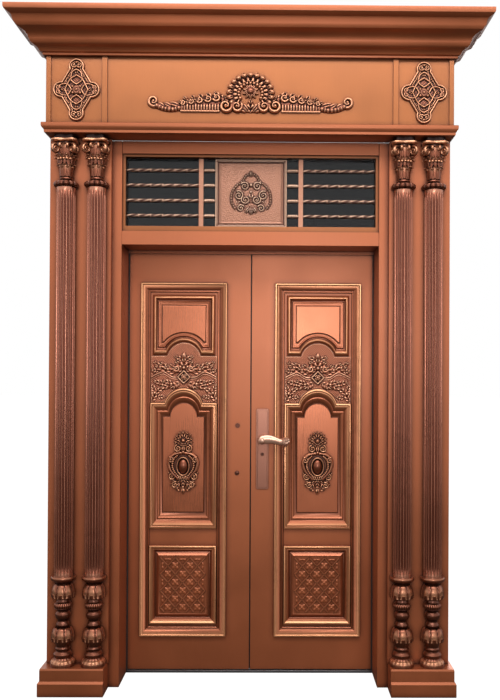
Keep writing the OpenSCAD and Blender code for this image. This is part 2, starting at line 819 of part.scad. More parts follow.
module left_pockets() {
    for (z = [leaf_low - over, leaf_top - flush_l])
        translate([-flush_x, flush_y, z]) cylinder(r = flush_r + run_gap, h = flush_l + over, $fn = round_fn);
    box([-leaf_in - strike_t, -strike_w / 2, strike_z], [over, strike_w / 2, strike_z + strike_h]);
    box([-leaf_in - dead_throw - strike_t, -bolt_t / 2 - seat_gap, key_z - dead_h / 2 - seat_gap],
        [0, bolt_t / 2 + seat_gap, key_z + dead_h / 2 + seat_gap]);
    box([-leaf_in - dead_throw - strike_t, -bolt_t / 2 - seat_gap, lever_z - latch_h / 2 - seat_gap],
        [0, bolt_t / 2 + seat_gap, lever_z + latch_h / 2 + seat_gap]);
    translate([-viewer_x, leaf_front - over, viewer_z]) rotate([-90, 0, 0])
        cylinder(r = viewer_r, h = leaf_t + 2 * over, $fn = round_fn);
}

module strike_plate() {
    color(steel) difference() {
        box([-leaf_in - strike_t, -strike_w / 2, strike_z], [-leaf_in, strike_w / 2, strike_z + strike_h]);
        for (b = [[key_z, dead_h], [lever_z, latch_h]])
            box([-leaf_in - strike_t - over, -bolt_t / 2 - seat_gap, b[0] - b[1] / 2 - seat_gap],
                [over, bolt_t / 2 + seat_gap, b[0] + b[1] / 2 + seat_gap]);
    }
}

module door_viewer() {
    color(rose_copper) translate([-viewer_x, leaf_front - viewer_head_t, viewer_z]) rotate([-90, 0, 0]) {
        cylinder(r = viewer_head_r, h = viewer_head_t, $fn = round_fn);
        cylinder(r = viewer_r, h = leaf_t + viewer_head_t, $fn = round_fn);
        translate([0, 0, leaf_t + viewer_head_t]) cylinder(r = viewer_head_r, h = viewer_head_t, $fn = round_fn);
    }
}

module top_bolt() {
    color(steel) translate([-flush_x, flush_y, leaf_top - flush_l + flush_throw])
        cylinder(r = flush_r, h = flush_l - flush_throw, $fn = round_fn);
}

module bottom_bolt() {
    color(steel) translate([-flush_x, flush_y, leaf_low])
        cylinder(r = flush_r, h = flush_l - flush_throw - edge_gap, $fn = round_fn);
}

// Applied mouldings: outer frame round an arched upper panel, a tall arched panel and a lattice panel
bolection_shares = [
    [0, 0], [0, 0.8], [0.06, 1], [0.17, 0.96], [0.21, 0.74], [0.5, 0.55], [0.74, 0.26],
    [0.79, 0.2], [0.84, 0.38], [0.94, 0.38], [1, 0.14], [1, 0]];
field_share = 0.45;
upper_shares = [
    [0, 0], [0, 0.25], [0.2, 0.8], [0.28, 0.8], [0.4, 0.3], [0.5, 0.15], [0.92, 0.4], [1, field_share]];
tall_shares = [
    [0, 0], [0, 0.75], [0.04, 0.9], [0.1, 0.9], [0.14, 0.7], [0.22, 0.75], [0.56, 0.4], [0.64, 0.5],
    [0.9, 0.14], [0.95, 0.1], [1, field_share]];
low_shares = [
    [0, 0], [0, 0.8], [0.05, 0.95], [0.14, 0.95], [0.3, 0.6], [0.36, 0.66], [0.56, 0.2], [0.62, 0.12],
    [0.98, 0.42], [1, field_share]];
arch_n = 12;

// Half angle at which an arch leaves its shoulders
function spring_angle(z, c, r) = asin((z - c) / r);
function upper_outline(w, low, top, c, r) = let (a = spring_angle(low, c, r)) concat(
    [[0, top], [-w / 2, top], [-w / 2, low]], arc([0, c], r, 180 - a, a, arch_n), [[w / 2, low], [w / 2, top]]);
function tall_outline(w, low, shoulder, c, r) = let (a = spring_angle(shoulder, c, r)) concat(
    [[-w / 2, low], [w / 2, low], [w / 2, shoulder]],
    arc([0, c], r, a, 180 - a, arch_n),
    [[-w / 2, shoulder]]);

// The upper field's lower edge is one flat arch from side to side
upper_in_w = upper_w - 2 * upper_in_side;
upper_in_half = upper_in_w / 2 - upper_in_ledge;
upper_in_r = (upper_in_half * upper_in_half + upper_in_rise * upper_in_rise) / (2 * upper_in_rise);
upper_in_z = upper_arch_z + upper_arch_r + upper_in_crown;

// A panel pressed in steps: rings between an outer and an inner outline, closed by a raised field
function blend(a, b, s) = [for (i = [0:len(a) - 1]) a[i] + (b[i] - a[i]) * s];
function split(quads) = [for (q = quads) each [[q[0], q[1], q[2]], [q[0], q[2], q[3]]]];
module pressed_panel(outer, inner, profile_shares) {
    n = len(outer);
    m = len(profile_shares);
    top = (m - 1) * n;
    caps = [for (i = [1:n - 2]) each [[0, i, i + 1], [top, top + i + 1, top + i]]];
    polyhedron(
        points = [for (s = profile_shares) each lift(blend(outer, inner, s[0]), s[1] * mould_out)],
        faces = concat(caps, split(ring_faces(m, n, m - 2))));
}

module mouldings(side) {
    color(copper) translate([side * panel_mid, 0, 0]) on_face(leaf_front) {
        framed_moulding(rect_path(panel_w, panel_z, panel_z + panel_h), outer_mould_w, mould_out,
            bolection_shares);
        pressed_panel(
            upper_outline(upper_w, upper_low, upper_top, upper_arch_z, upper_arch_r),
            upper_outline(upper_in_w, upper_in_z - upper_in_rise, upper_top - upper_in_top,
                upper_in_z - upper_in_r, upper_in_r),
            upper_shares);
        pressed_panel(
            tall_outline(tall_w, tall_low, tall_shoulder, tall_arch_z, tall_arch_r),
            tall_outline(tall_w - 2 * tall_in_side, tall_low + tall_in_low, tall_shoulder - tall_in_shoulder,
                tall_arch_z - tall_in_drop, tall_in_arch_r),
            tall_shares);
        union() {
            pressed_panel(
                rect_path(low_w, low_z, low_top),
                rect_path(low_w - 2 * low_in, low_z + low_in, low_top - low_in),
                low_shares);
            translate([0, lattice_z, mould_out * field_share]) lattice();
        }
    }
}

// Carved field between the two arches: flower in a ring, leaf fan, wings and corner leaves
carve_out = 11;
carve_gap = 2;
carve_plate = 2;
flower_petals = 8;
carve_mid_share = 0.56034;
carve_mid_z = tall_shoulder + (upper_low - tall_shoulder) * carve_mid_share;
flower_r = 32;
boss_r = 12;
wing_shares = [
    [0.1, 0.1, 25, 0.34, 0.1], [0.26, 0.16, -5, 0.34, 0.1], [0.16, -0.1, -35, 0.3, 0.09],
    [0.34, 0.02, -55, 0.36, 0.1], [0.3, 0.3, 40, 0.26, 0.09], [0.2, 0.28, 75, 0.2, 0.09]];
module carving(side) {
    w = tall_w / 2;
    h = upper_low - tall_shoulder;
    color(dark_copper) translate([side * panel_mid, 0, 0]) on_face(leaf_front) intersection() {
        translate([0, 0, -over]) linear_extrude(2 * carve_out) carve_field();
        union() {
            translate([-tall_w, tall_arch_z, 0]) cube([2 * tall_w, upper_top - tall_arch_z, carve_plate]);
            translate([0, carve_mid_z, carve_plate - seat_gap]) carve_ornament(w, h);
        }
    }
}

// Outline of the field that the two arched frames leave between them
module carve_field() {
    difference() {
        union() {
            translate([-tall_w / 2, tall_shoulder + carve_gap])
                square([tall_w, upper_low - tall_shoulder - 2 * carve_gap]);
            translate([0, upper_arch_z]) circle(upper_arch_r - carve_gap, $fn = arch_n * 2);
        }
        translate([0, tall_arch_z]) circle(tall_arch_r + carve_gap, $fn = arch_n * 2);
    }
}

module carve_ornament(w, h) {
    for (k = [0:flower_petals - 1]) petal([0, 0], k * 360 / flower_petals, flower_r, boss_r, carve_out);
    for (k = [0:leaf_fan - 1])
        petal([0, flower_r], leaf_fan_turn + k * leaf_fan_step, h * fan_reach_share, boss_r,
            carve_out * petal_low_share);
    both_ways() {
        for (s = wing_shares) petal([s[0] * 2 * w, s[1] * h], s[2], s[3] * h, s[4] * w * 2, carve_out);
        stem(scroll_path([w * wing_x_share, h * wing_y_share], w * wing_r_share, w * curl_end_share,
            -120, 400, 6), boss_r * stem_share, boss_r * stem_end_share);
    }
    dome([boss_r, boss_r, boss_r], 10);
}
leaf_fan = 5;
leaf_fan_turn = 40;
leaf_fan_step = 25;
fan_reach_share = 0.42;
wing_x_share = 0.72;
wing_y_share = 0.18;
wing_r_share = 0.14;

// Medallion: egg in a ring of leaves, with scrolls and a pendant
medal_w = 155;
medal_h = 316;
medal_mid_share = 0.53094;
medal_z = tall_low + (tall_shoulder - tall_low) * medal_mid_share;
medal_out = 20;
egg_w = 50;
egg_h = 77;
egg_drop = 21;
medal_petal_shares = [
    [0.1, 0.06, 60, 0.4, 0.22], [0.0, 0.08, 90, 0.42, 0.24], [0.2, 0.0, 35, 0.2, 0.2],
    [0.22, -0.08, 0, 0.15, 0.2], [0.18, -0.15, -40, 0.2, 0.2], [0.08, -0.2, -70, 0.3, 0.2],
    [0.0, -0.2, -90, 0.3, 0.22], [0.06, 0.2, 25, 0.2, 0.16]];
module medallion(side) {
    w = medal_w;
    h = medal_h;
    color(dark_copper) translate([side * panel_mid, 0, medal_z]) on_face(leaf_front - mould_out * field_share) union() {
            translate([0, -egg_drop, 0]) dome([egg_w / 2, egg_h / 2, medal_out], 10);
            translate([0, -egg_drop, 0]) dome([egg_w * rim_grow_share, egg_h * rim_grow_share, medal_out / 2], 10);
            both_ways() {
                for (s = medal_petal_shares)
                    petal([s[0] * w, s[1] * h], s[2], s[3] * h, s[4] * w, medal_out * petal_low_share);
                for (s = [[0.3, 0.2, 1], [0.26, -0.22, -1]])
                    stem(scroll_path([s[0] * w, s[1] * h], w * medal_curl_share, w * curl_end_share, s[2] * 230,
                        s[2] * -400, 5), medal_out * stem_end_share, medal_out * rim_low_share);
            }
        }
}
rim_grow_share = 0.72;
medal_curl_share = 0.14;
rim_low_share = 0.25;

// Lock and handles of the right leaf

handle_x = 58;
spindle_r = 6;
plug_r = 8;
bolt_t = 16;
dead_h = 40;
latch_h = 26;
case_t = 24;
case_pad = 48;
case_low = key_z - case_pad;
case_top = lever_z + case_pad;
case_back = 30;
case_x1 = handle_x + case_back;
plate_t = 8;
plate_low = 895;
plate_step = 3;
plate_rim = 7;
plate_clip = 5;
boss_out = 6;
hub_r = 16;
neck_l = 34;
arm_t = 17;
tip_w = 36;
tip_l = 44;
latch_tail = 24;

module right_pockets() {
    box([0, -case_t / 2, case_low], [case_x1, case_t / 2, case_top]);
    for (z = [lever_z, key_z]) translate([handle_x, leaf_front - over, z]) rotate([-90, 0, 0])
        cylinder(r = plug_r + over, h = leaf_t + 2 * over, $fn = round_fn);
}

// Case of the lock, bored for the spindle, the plug and the two bolts
module lock_case() {
    color(steel) difference() {
        box([leaf_in, -case_t / 2, case_low], [case_x1, case_t / 2, case_top]);
        for (b = [[lever_z, spindle_r], [key_z, plug_r]])
            translate([handle_x, -case_t / 2 - over, b[0]]) rotate([-90, 0, 0])
                cylinder(r = b[1] + run_gap, h = case_t + 2 * over, $fn = round_fn);
        for (b = [[key_z, dead_h, dead_throw], [lever_z, latch_h, latch_throw]])
            box([0, -bolt_t / 2 - seat_gap, b[0] - b[1] / 2 - seat_gap],
                [leaf_in + latch_tail + dead_throw, bolt_t / 2 + seat_gap, b[0] + b[1] / 2 + seat_gap]);
    }
}

module latch_bolt() {
    color(steel) translate([0, 0, lever_z - latch_h / 2]) linear_extrude(latch_h) polygon([
        [leaf_in - latch_throw, bolt_t / 2], [leaf_in - latch_throw + latch_nose, -bolt_t / 2],
        [leaf_in + latch_tail, -bolt_t / 2], [leaf_in + latch_tail, bolt_t / 2]]);
}
latch_nose = 3;

module deadbolt() {
    color(steel) box([leaf_in + seat_gap, -bolt_t / 2, key_z - dead_h / 2],
        [leaf_in + latch_tail + seat_gap, bolt_t / 2, key_z + dead_h / 2]);
}

// Plate outline with clipped corners, narrowed by d
module plate_outline(d) {
    x = plate_w / 2 - d;
    y = plate_h - d;
    c = plate_clip;
    polygon([[c - x, d], [x - c, d], [x, d + c], [x, y - c], [x - c, y], [c - x, y], [-x, y - c], [-x, d + c]]);
}

module plate_body() {
    difference() {
        union() {
            translate([0, plate_low, 0]) {
                linear_extrude(plate_t - plate_step) plate_outline(0);
                linear_extrude(plate_t) plate_outline(plate_rim);
            }
            translate([0, lever_z, 0]) cylinder(r = hub_r + plate_step, h = plate_t + boss_out, $fn = round_fn);
        }
        translate([0, lever_z, -over]) cylinder(r = spindle_r + run_gap, h = plate_t + boss_out + 2 * over, $fn = round_fn);
        translate([0, key_z, -over]) cylinder(r = plug_r + run_gap, h = plate_t + boss_out + 2 * over, $fn = round_fn);
    }
}

module handle_plate() {
    color(rose_copper) translate([handle_x, 0, 0]) on_face(leaf_front) plate_body();
}

module inner_plate() {
    color(rose_copper) translate([handle_x, 0, 0]) mirror([0, 1, 0]) on_face(leaf_front) plate_body();
}

// A lever on its neck: hub, arm that swells, and a leaf-shaped end
arm_shares = [[0, 0, 1], [0.28, 0.02, 0.85], [0.62, -0.03, 0.95]];
module lever_body() {
    z0 = plate_t + boss_out + seat_gap;
    zm = z0 + neck_l;
    cylinder(r = hub_r * neck_share, h = zm, $fn = round_fn);
    translate([0, 0, z0]) cylinder(r = hub_r, h = boss_out, $fn = round_fn);
    for (k = [0:len(arm_shares) - 2]) hull() {
        for (s = [arm_shares[k], arm_shares[k + 1]])
            translate([s[0] * lever_l, s[1] * lever_l, zm]) sphere(s[2] * arm_t, $fn = lever_fn);
    }
    hull() {
        translate([arm_shares[2][0] * lever_l, arm_shares[2][1] * lever_l, zm])
            sphere(arm_shares[2][2] * arm_t, $fn = lever_fn);
        translate([lever_l - tip_l * tip_mid_share, 0, zm]) scale([1, 1, tip_thin_share])
            sphere(tip_w / 2, $fn = lever_fn);
        translate([lever_l - tip_r, tip_rise, zm]) sphere(tip_r, $fn = lever_fn);
    }
}
neck_share = 0.62;
lever_fn = 8;
tip_mid_share = 0.7;
tip_thin_share = 0.8;
tip_r = 5;
tip_rise = 8;

// The lever carries the spindle through the lock
module lever() {
    color(rose_copper) translate([handle_x, 0, lever_z]) {
        on_face(leaf_front) difference() {
            lever_body();
            translate([0, 0, -leaf_t]) cylinder(r = hub_r * 2, h = leaf_t + plate_t + boss_out + seat_gap, $fn = round_fn);
        }
        translate([0, leaf_front - plate_t - boss_out - boss_out, 0]) rotate([-90, 0, 0])
            cylinder(r = spindle_r, h = leaf_t + 2 * (plate_t + boss_out + boss_out), $fn = round_fn);
    }
}

module inner_lever() {
    color(rose_copper) translate([handle_x, 0, lever_z]) mirror([0, 1, 0]) on_face(leaf_front) difference() {
        lever_body();
        translate([0, 0, -leaf_t]) cylinder(r = hub_r * 2, h = leaf_t + plate_t + boss_out + seat_gap, $fn = round_fn);
        cylinder(r = spindle_r, h = plate_t + boss_out + boss_out, $fn = round_fn);
    }
}

// Key plug with its keyway, and the turn on the inner side
keyway_w = 3;
keyway_h = 9;
keyway_d = 20;
turn_l = 30;
turn_t = 8;
turn_out = 18;
module key_plug() {
    y0 = leaf_front - plate_t - plug_proud;
    color(bright_copper) difference() {
        translate([handle_x, y0, key_z]) rotate([-90, 0, 0])
            cylinder(r = plug_r, h = leaf_t + 2 * plate_t + 2 * plug_proud, $fn = round_fn);
        box([handle_x - keyway_w / 2, y0 - over, key_z - keyway_h / 2],
            [handle_x + keyway_w / 2, y0 + keyway_d, key_z + keyway_h / 2]);
    }
}
plug_proud = 2;

module thumb_turn() {
    y0 = leaf_back + plate_t + plug_proud;
    color(rose_copper) translate([handle_x, y0, key_z]) {
        rotate([-90, 0, 0]) cylinder(r = plug_r + plate_step, h = boss_out, $fn = round_fn);
        box([-turn_t / 2, boss_out - over, -turn_l / 2], [turn_t / 2, turn_out, turn_l / 2]);
    }
}

jamb(-1);  // jamb_left
jamb(1);  // jamb_right
head_rail();
transom_bar();
threshold();
weather_seal();
casing(-1);  // casing_left
casing(1);  // casing_right
plinth(-1);  // plinth_left
plinth(1);  // plinth_right
base(-1, 1);  // base_left_outer
base(-1, -1);  // base_left_inner
base(1, -1);  // base_right_inner
base(1, 1);  // base_right_outer
shaft(-1, 1);  // shaft_left_outer
shaft(-1, -1);  // shaft_left_inner
shaft(1, -1);  // shaft_right_inner
shaft(1, 1);  // shaft_right_outer
capital(-1, 1);  // capital_left_outer
capital(-1, -1);  // capital_left_inner
capital(1, -1);  // capital_right_inner
capital(1, 1);  // capital_right_outer
ledge();
frieze_board();
cornice();
frieze_crest();
lozenge(-1);  // lozenge_left
lozenge(1);  // lozenge_right
transom_sash();
transom_glass();
transom_rods();
transom_strips();
transom_relief();
hinge_frame(-1);  // hinge_frame_left
hinge_frame(1);  // hinge_frame_right
hinge_pins();
leaf(-1);  // leaf_left
mouldings(-1);  // mouldings_left
carving(-1);  // carving_left
medallion(-1);  // medallion_left
hinge_leaf(-1);  // hinge_leaf_left
strike_plate();
door_viewer();
top_bolt();
bottom_bolt();
leaf(1);  // leaf_right
mouldings(1);  // mouldings_right
carving(1);  // carving_right
medallion(1);  // medallion_right
hinge_leaf(1);  // hinge_leaf_right
lock_case();
handle_plate();
inner_plate();
lever();
inner_lever();
latch_bolt();
key_plug();
thumb_turn();
deadbolt();
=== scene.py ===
"""Looks of a copper-coloured double entrance door in a columned portal.

Sizes below are in millimetres in the part's own frame and become metres in the meshes.
X runs along the door, the front faces -Y, Z is up.
"""
import math

import bpy
import numpy as np
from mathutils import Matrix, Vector, geometry


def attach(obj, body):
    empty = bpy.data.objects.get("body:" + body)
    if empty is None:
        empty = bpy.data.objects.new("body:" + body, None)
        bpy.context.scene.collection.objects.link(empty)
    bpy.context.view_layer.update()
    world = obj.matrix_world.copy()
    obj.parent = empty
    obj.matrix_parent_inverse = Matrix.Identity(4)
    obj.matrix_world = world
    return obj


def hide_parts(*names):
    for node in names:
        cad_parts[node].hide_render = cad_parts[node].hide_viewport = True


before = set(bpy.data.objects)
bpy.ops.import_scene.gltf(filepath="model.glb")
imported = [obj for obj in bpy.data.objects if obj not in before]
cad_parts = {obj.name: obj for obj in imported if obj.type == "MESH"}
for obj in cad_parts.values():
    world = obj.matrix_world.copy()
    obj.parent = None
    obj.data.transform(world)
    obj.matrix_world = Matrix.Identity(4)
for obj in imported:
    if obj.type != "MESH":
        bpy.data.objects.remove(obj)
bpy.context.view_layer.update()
MM = 0.001
SIDES = {"left": -1, "right": 1}

# Leaves: their face, the pressed fields on it and the heights of the ornaments
LEAF_FACE = -30.0
LEAF_LOW, LEAF_HIGH = 15.0, 2057.0
PANEL_MID = 328.0
MOULDING_RISE = 18.0
FIELD_RISE = 8.1
CARVING_Z = 1446
MEDALLION_Z = 1028
UPPER_ARCH_Z = 1527
LOWER_ARCH_Z = 1290
LATTICE_Z, LATTICE_H = 296.5, 264
DIAMOND_W = 217.0 / 3
DIAMOND_H = DIAMOND_W * 1.12
HUB_X, HUB_Y, HUB_Z = 58, 44.3, 1135
CAP_X, CAP_Z = -66, 973

# Portal: frieze, crown and transom light
FRIEZE_FACE = -337.0
CREST_Z = 2732.5
LOZENGE_X, LOZENGE_Z = 788.1, 2740.5
CROWN_HALF, CROWN_FRONT, CROWN_BACK = 925, -345, -230
RELIEF_FACE, RELIEF_Z = -178.5, 2311
ROD_Y, ROD_Z, ROD_STEP = -184.5, 2204.1, 71.5
ROD_RUNS = ((246, 586), (170, 224))

# Columns: places, then radius and height of each part; all are cut flat at the casing
COLUMN_X = {"left_outer": -846.0, "left_inner": -706.0, "right_inner": 706.0, "right_outer": 846.0}
COLUMN_Y = -285.0
COLUMN_BACK, LEAF_BACK = 20.0, 19.5
BASE_Z, BASE_R, BASE_H = 125, 57, 407
SHAFT_Z, SHAFT_R, SHAFT_H = BASE_Z + BASE_H, 42.5, 1775
CAPITAL_Z, CAPITAL_R, CAPITAL_H = SHAFT_Z + SHAFT_H, 59, 236
FLUTES, FLUTE_DEPTH = 20, 5.2

# Reliefs: a stroke's height where it has no part, the cut-off height, the back under it, and the ridge mask
# that paints shade in hollows and highlight on crests
DEEP = -9.0
RELIEF_LOW = -1.0
RELIEF_BACK = 0.4
RIDGE_REACH = 3.6
MID_RIDGE = 0.6


# Small helpers

def unit(values):
    """Values held between 0 and 1."""
    return np.clip(values, 0, 1)


def turn(count):
    """Angles of a full turn in even steps."""
    return np.linspace(0, 2 * np.pi, count, endpoint=False)


def cos_sin(angle):
    """Cosine and sine of an angle in degrees."""
    return math.cos(math.radians(angle)), math.sin(math.radians(angle))


def swell(t, at, half):
    """1 at one height, falling to 0 at half over and under it."""
    return unit(1 - ((t - at) / half) ** 2)


# Meshes

def add_piece(name, points, faces, body, finish, nodes=(), ridge=None, sharp=40.0):
    """A mesh from an array of points and a list of face arrays (quads or triangles), riding on a body."""
    mesh = bpy.data.meshes.new(name)
    points = np.asarray(points, float).reshape(-1, 3) * MM
    loops = np.concatenate([np.asarray(f).ravel() for f in faces])
    sizes = np.concatenate([np.full(len(f), np.asarray(f).shape[1]) for f in faces])
    starts = np.concatenate([[0], np.cumsum(sizes)[:-1]])
    mesh.vertices.add(len(points))
    mesh.vertices.foreach_set("co", points.astype(np.float32).ravel())
    mesh.loops.add(len(loops))
    mesh.loops.foreach_set("vertex_index", loops.astype(np.int32))
    mesh.polygons.add(len(sizes))
    mesh.polygons.foreach_set("loop_start", starts.astype(np.int32))
    mesh.update(calc_edges=True)
    mesh.validate()
    mesh.polygons.foreach_set("use_smooth", np.ones(len(mesh.polygons), bool))
    if sharp:
        mesh.set_sharp_from_angle(angle=math.radians(sharp))
    # The ridge attribute carries painted light into the finish: low values paint shade, high values paint
    # highlight.
    if ridge is None:
        ridge = np.full(len(points), MID_RIDGE)
    layer = mesh.attributes.new("ridge", "FLOAT", "POINT")
    layer.data.foreach_set("value", np.asarray(ridge, np.float32).ravel())
    obj = bpy.data.objects.new(name, mesh)
    bpy.context.scene.collection.objects.link(obj)
    mesh.materials.append(finish)
    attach(obj, body)
    if nodes:
        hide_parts(*nodes)
    return obj


def joined(parts):
    """Several (points, faces, ridge) shells as one list of points, faces and ridge values."""
    points, faces, ridge, count = [], [], [], 0
    for p, fs, r in parts:
        p = np.asarray(p, float).reshape(-1, 3)
        points.append(p)
        faces.extend([np.asarray(f) + count for f in fs])
        ridge.append(np.full(len(p), MID_RIDGE) if r is None else np.asarray(r, float).ravel())
        count += len(p)
    return np.concatenate(points), faces, np.concatenate(ridge)


def ring_quads(rings, around, wrap_rings=False):
    """Quads between neighbouring rings of equal length, each ring closed on itself."""
    last = rings if wrap_rings else rings - 1
    k, i = np.meshgrid(np.arange(last), np.arange(around), indexing="ij")
    k2, i2 = (k + 1) % rings, (i + 1) % around
    corners = [k * around + i, k * around + i2, k2 * around + i2, k2 * around + i]
    return np.stack(corners, -1).reshape(-1, 4)


def end_fans(rings, around):
    """Triangles that close the first and the last ring about two extra middle points."""
    i = np.arange(around)
    j = (i + 1) % around
    low, high = rings * around, rings * around + 1
    top = (rings - 1) * around
    return np.concatenate([np.stack([np.full(around, low), j, i], -1),
                           np.stack([np.full(around, high), top + i, top + j], -1)])


def closed_tube(rings_of_points, ridge=None, ends=(0.5, 0.5)):
    """A tube through rings (rings, around, 3), closed by a fan at each end, with its ridge values."""
    rings, around = rings_of_points.shape[:2]
    points = np.concatenate([rings_of_points.reshape(-1, 3), rings_of_points[:1].mean(1),
                             rings_of_points[-1:].mean(1)])
    if ridge is not None:
        ridge = np.concatenate([np.broadcast_to(ridge, (rings, around)).ravel(), ends])
    return points, [ring_quads(rings, around), end_fans(rings, around)], ridge


def smoothed(field, passes):
    """Mean of each value and its four neighbours, repeated."""
    for _ in range(passes):
        edge = np.pad(field, 1, mode="edge")
        beside = edge[:-2, 1:-1] + edge[2:, 1:-1] + edge[1:-1, :-2] + edge[1:-1, 2:]
        field = (edge[1:-1, 1:-1] + beside) / 5
    return field


def ridge_mask(field):
    """0 in hollows, 1 on crests: how far the height stands over its smoothed surroundings; it sets painted
    shade in the hollows and painted highlight on the crests.
    """
    return unit(0.5 + (field - smoothed(field, 10)) / RIDGE_REACH)


def flat_back(cell, edge):
    """Triangles over the live cells that use only the points on their edges, from a Delaunay net."""
    wide = cell.shape[1] + 1
    spot, line = np.unique(edge, return_inverse=True)
    places = [Vector((int(s) % wide, int(s) // wide)) for s in spot]
    net = geometry.delaunay_2d_cdt(places, line.reshape(-1, 2).tolist(), [], 0, 1e-5)
    source = np.array([found[0] for found in net[3]])
    triangle = np.array(net[2])
    middle = np.array([tuple(p) for p in net[0]])[triangle].mean(1)
    inside = cell[middle[:, 1].astype(int), middle[:, 0].astype(int)]
    return spot[source[triangle[inside]]]


def live_cells(rise):
    """Grid cells with a corner over the cut-off, filled where two of them would meet at one point only."""
    live = rise > RELIEF_LOW + 1e-4
    cell = live[:-1, :-1] | live[1:, :-1] | live[:-1, 1:] | live[1:, 1:]
    for _ in range(3):
        a, b, c, d = cell[:-1, :-1], cell[:-1, 1:], cell[1:, 1:], cell[1:, :-1]
        slash, back = a & c & ~b & ~d, b & d & ~a & ~c
        cell[:-1, 1:] |= slash
        cell[1:, :-1] |= slash
        cell[:-1, :-1] |= back
        cell[1:, 1:] |= back
    return cell


def relief_solid(height, span, step):
    """A carved field: height(u, v) on a grid over span, kept where it rises, with walls and a flat back."""
    u = np.arange(span[0], span[1] + step / 2, step)
    v = np.arange(span[2], span[3] + step / 2, step)
    grid_u, grid_v = np.meshgrid(u, v)
    rise = np.maximum(height(grid_u, grid_v), RELIEF_LOW)
    rise[[0, -1], :] = RELIEF_LOW
    rise[:, [0, -1]] = RELIEF_LOW
    cell = live_cells(rise)
    index = np.arange(grid_u.size).reshape(grid_u.shape)
    corner = [index[:-1, :-1], index[:-1, 1:], index[1:, 1:], index[1:, :-1]]
    front = np.stack([c[cell] for c in corner], -1)
    wide = np.pad(cell, 1)
    beside = [wide[:-2, 1:-1], wide[1:-1, 2:], wide[2:, 1:-1], wide[1:-1, :-2]]
    size = grid_u.size
    walls = []
    for k in range(4):
        open_edge = cell & ~beside[k]
        p, q = corner[k][open_edge], corner[(k + 1) % 4][open_edge]
        walls.append(np.stack([q, p, p + size, q + size], -1))
    back = flat_back(cell, np.concatenate([wall[:, :2] for wall in walls]))[:, ::-1] + size
    quads = np.concatenate([front] + walls)
    behind = np.full_like(rise, RELIEF_LOW - RELIEF_BACK)
    points = np.concatenate([np.stack([grid_u, grid_v, z], -1).reshape(-1, 3) for z in (rise, behind)])
    # Painted shade and highlight from the ridge mask, the same for the front and the back points.
    mask = np.tile(ridge_mask(rise).ravel(), 2)
    used, faces = np.unique(np.concatenate([quads.ravel(), back.ravel()]), return_inverse=True)
    faces = [faces[:quads.size].reshape(-1, 4), faces[quads.size:].reshape(-1, 3)]
    return points[used], faces, mask[used]


def on_face(points, x, y, z):
    """Local (across, up, out) as door coordinates about the point x, z on the plane y."""
    return np.stack([x + points[:, 0], y - points[:, 2], z + points[:, 1]], -1)


def add_relief(name, height, span, step, place, body, finish, nodes=()):
    """A carved field as a piece at a place (x, y, z) on a face."""
    points, faces, ridge = relief_solid(height, span, step)
    return add_piece(name, on_face(points, *place), faces, body, finish, nodes, ridge, sharp=None)


# Carver's strokes: each gives a height over the grid, DEEP where it has no part

def turned(u, v, at, angle):
    """Grid coordinates from the point at, the first one running along angle."""
    c, s = cos_sin(angle)
    du, dv = u - at[0], v - at[1]
    return du * c + dv * s, dv * c - du * s


def rolled(d, height):
    """Round ridge over distances d, given as shares of its half width."""
    return np.where(np.abs(d) < 1, height * np.sqrt(unit(1 - d * d)), DEEP)


def petal(u, v, at, angle, length, width, height, curl=0.0, vein=0.3):
    """Leaf-shaped swelling: half width follows a bent sine of the length, with a groove along its middle."""
    a, b = turned(u, v, at, angle)
    t = np.clip(a / length, 1e-4, 1)
    b = b - curl * length * t ** 2
    half = 0.5 * width * np.sin(np.pi * t ** 0.75) ** 0.8 + 1e-3
    q = 1 - (b / half) ** 2
    body = height * (0.45 + 0.55 * np.sin(np.pi * t ** 0.9))
    rise = body * np.sqrt(unit(q)) - vein * body * np.exp(-(b / (0.1 * width)) ** 2)
    return np.where((a > 0) & (a < length) & (q > 0), rise, DEEP)


def acanthus(u, v, at, angle, length, width, height, lobes=4, curl=0.0):
    """Lobed leaf: the petal's half width swells with each lobe, and veins run out to the lobes."""
    a, b = turned(u, v, at, angle)
    t = np.clip(a / length, 1e-4, 1)
    b = b - curl * length * t ** 2
    edge = 0.66 + 0.34 * np.abs(np.sin(np.pi * (lobes * t + 0.15)))
    half = 0.5 * width * np.sin(np.pi * t ** 0.65) ** 0.7 * edge + 1e-3
    q = 1 - (b / half) ** 2
    body = height * (0.5 + 0.5 * t)
    veins = 0.22 * body * np.cos(2 * np.pi * (lobes * t - 0.9 * np.abs(b) / half))
    rise = body * unit(q) ** 0.4 * 0.8 + veins - 0.35 * body * np.exp(-(b / (0.07 * width)) ** 2)
    return np.where((a > 0) & (a < length) & (q > 0), np.maximum(rise, 0.15 * height), DEEP)


def scroll(u, v, at, outer, inner, start, turns, width, height, hand=1):
    """Rolled ridge about a spiral whose radius falls evenly with its angle, with a bead as its eye."""
    du, dv = (u - at[0]) * hand, v - at[1]
    r = np.hypot(du, dv)
    angle = np.mod(np.degrees(np.arctan2(dv, du)) - start, 360)
    rise = bead(u, v, at, inner * 1.15, height * 1.1)
    for k in range(math.ceil(turns)):
        s = (angle + 360 * k) / (360 * turns)
        d = (r - (outer + (inner - outer) * s)) / (width * (1 - 0.45 * unit(s)))
        rise = np.maximum(rise, np.where(s <= 1, rolled(d, height), DEEP))
    return rise


def bead(u, v, at, radius, height, tall=1.0):
    """Round boss: half an ellipsoid."""
    q = 1 - ((u - at[0]) / radius) ** 2 - ((v - at[1]) / (radius * tall)) ** 2
    return np.where(q > 0, height * np.sqrt(unit(q)), DEEP)


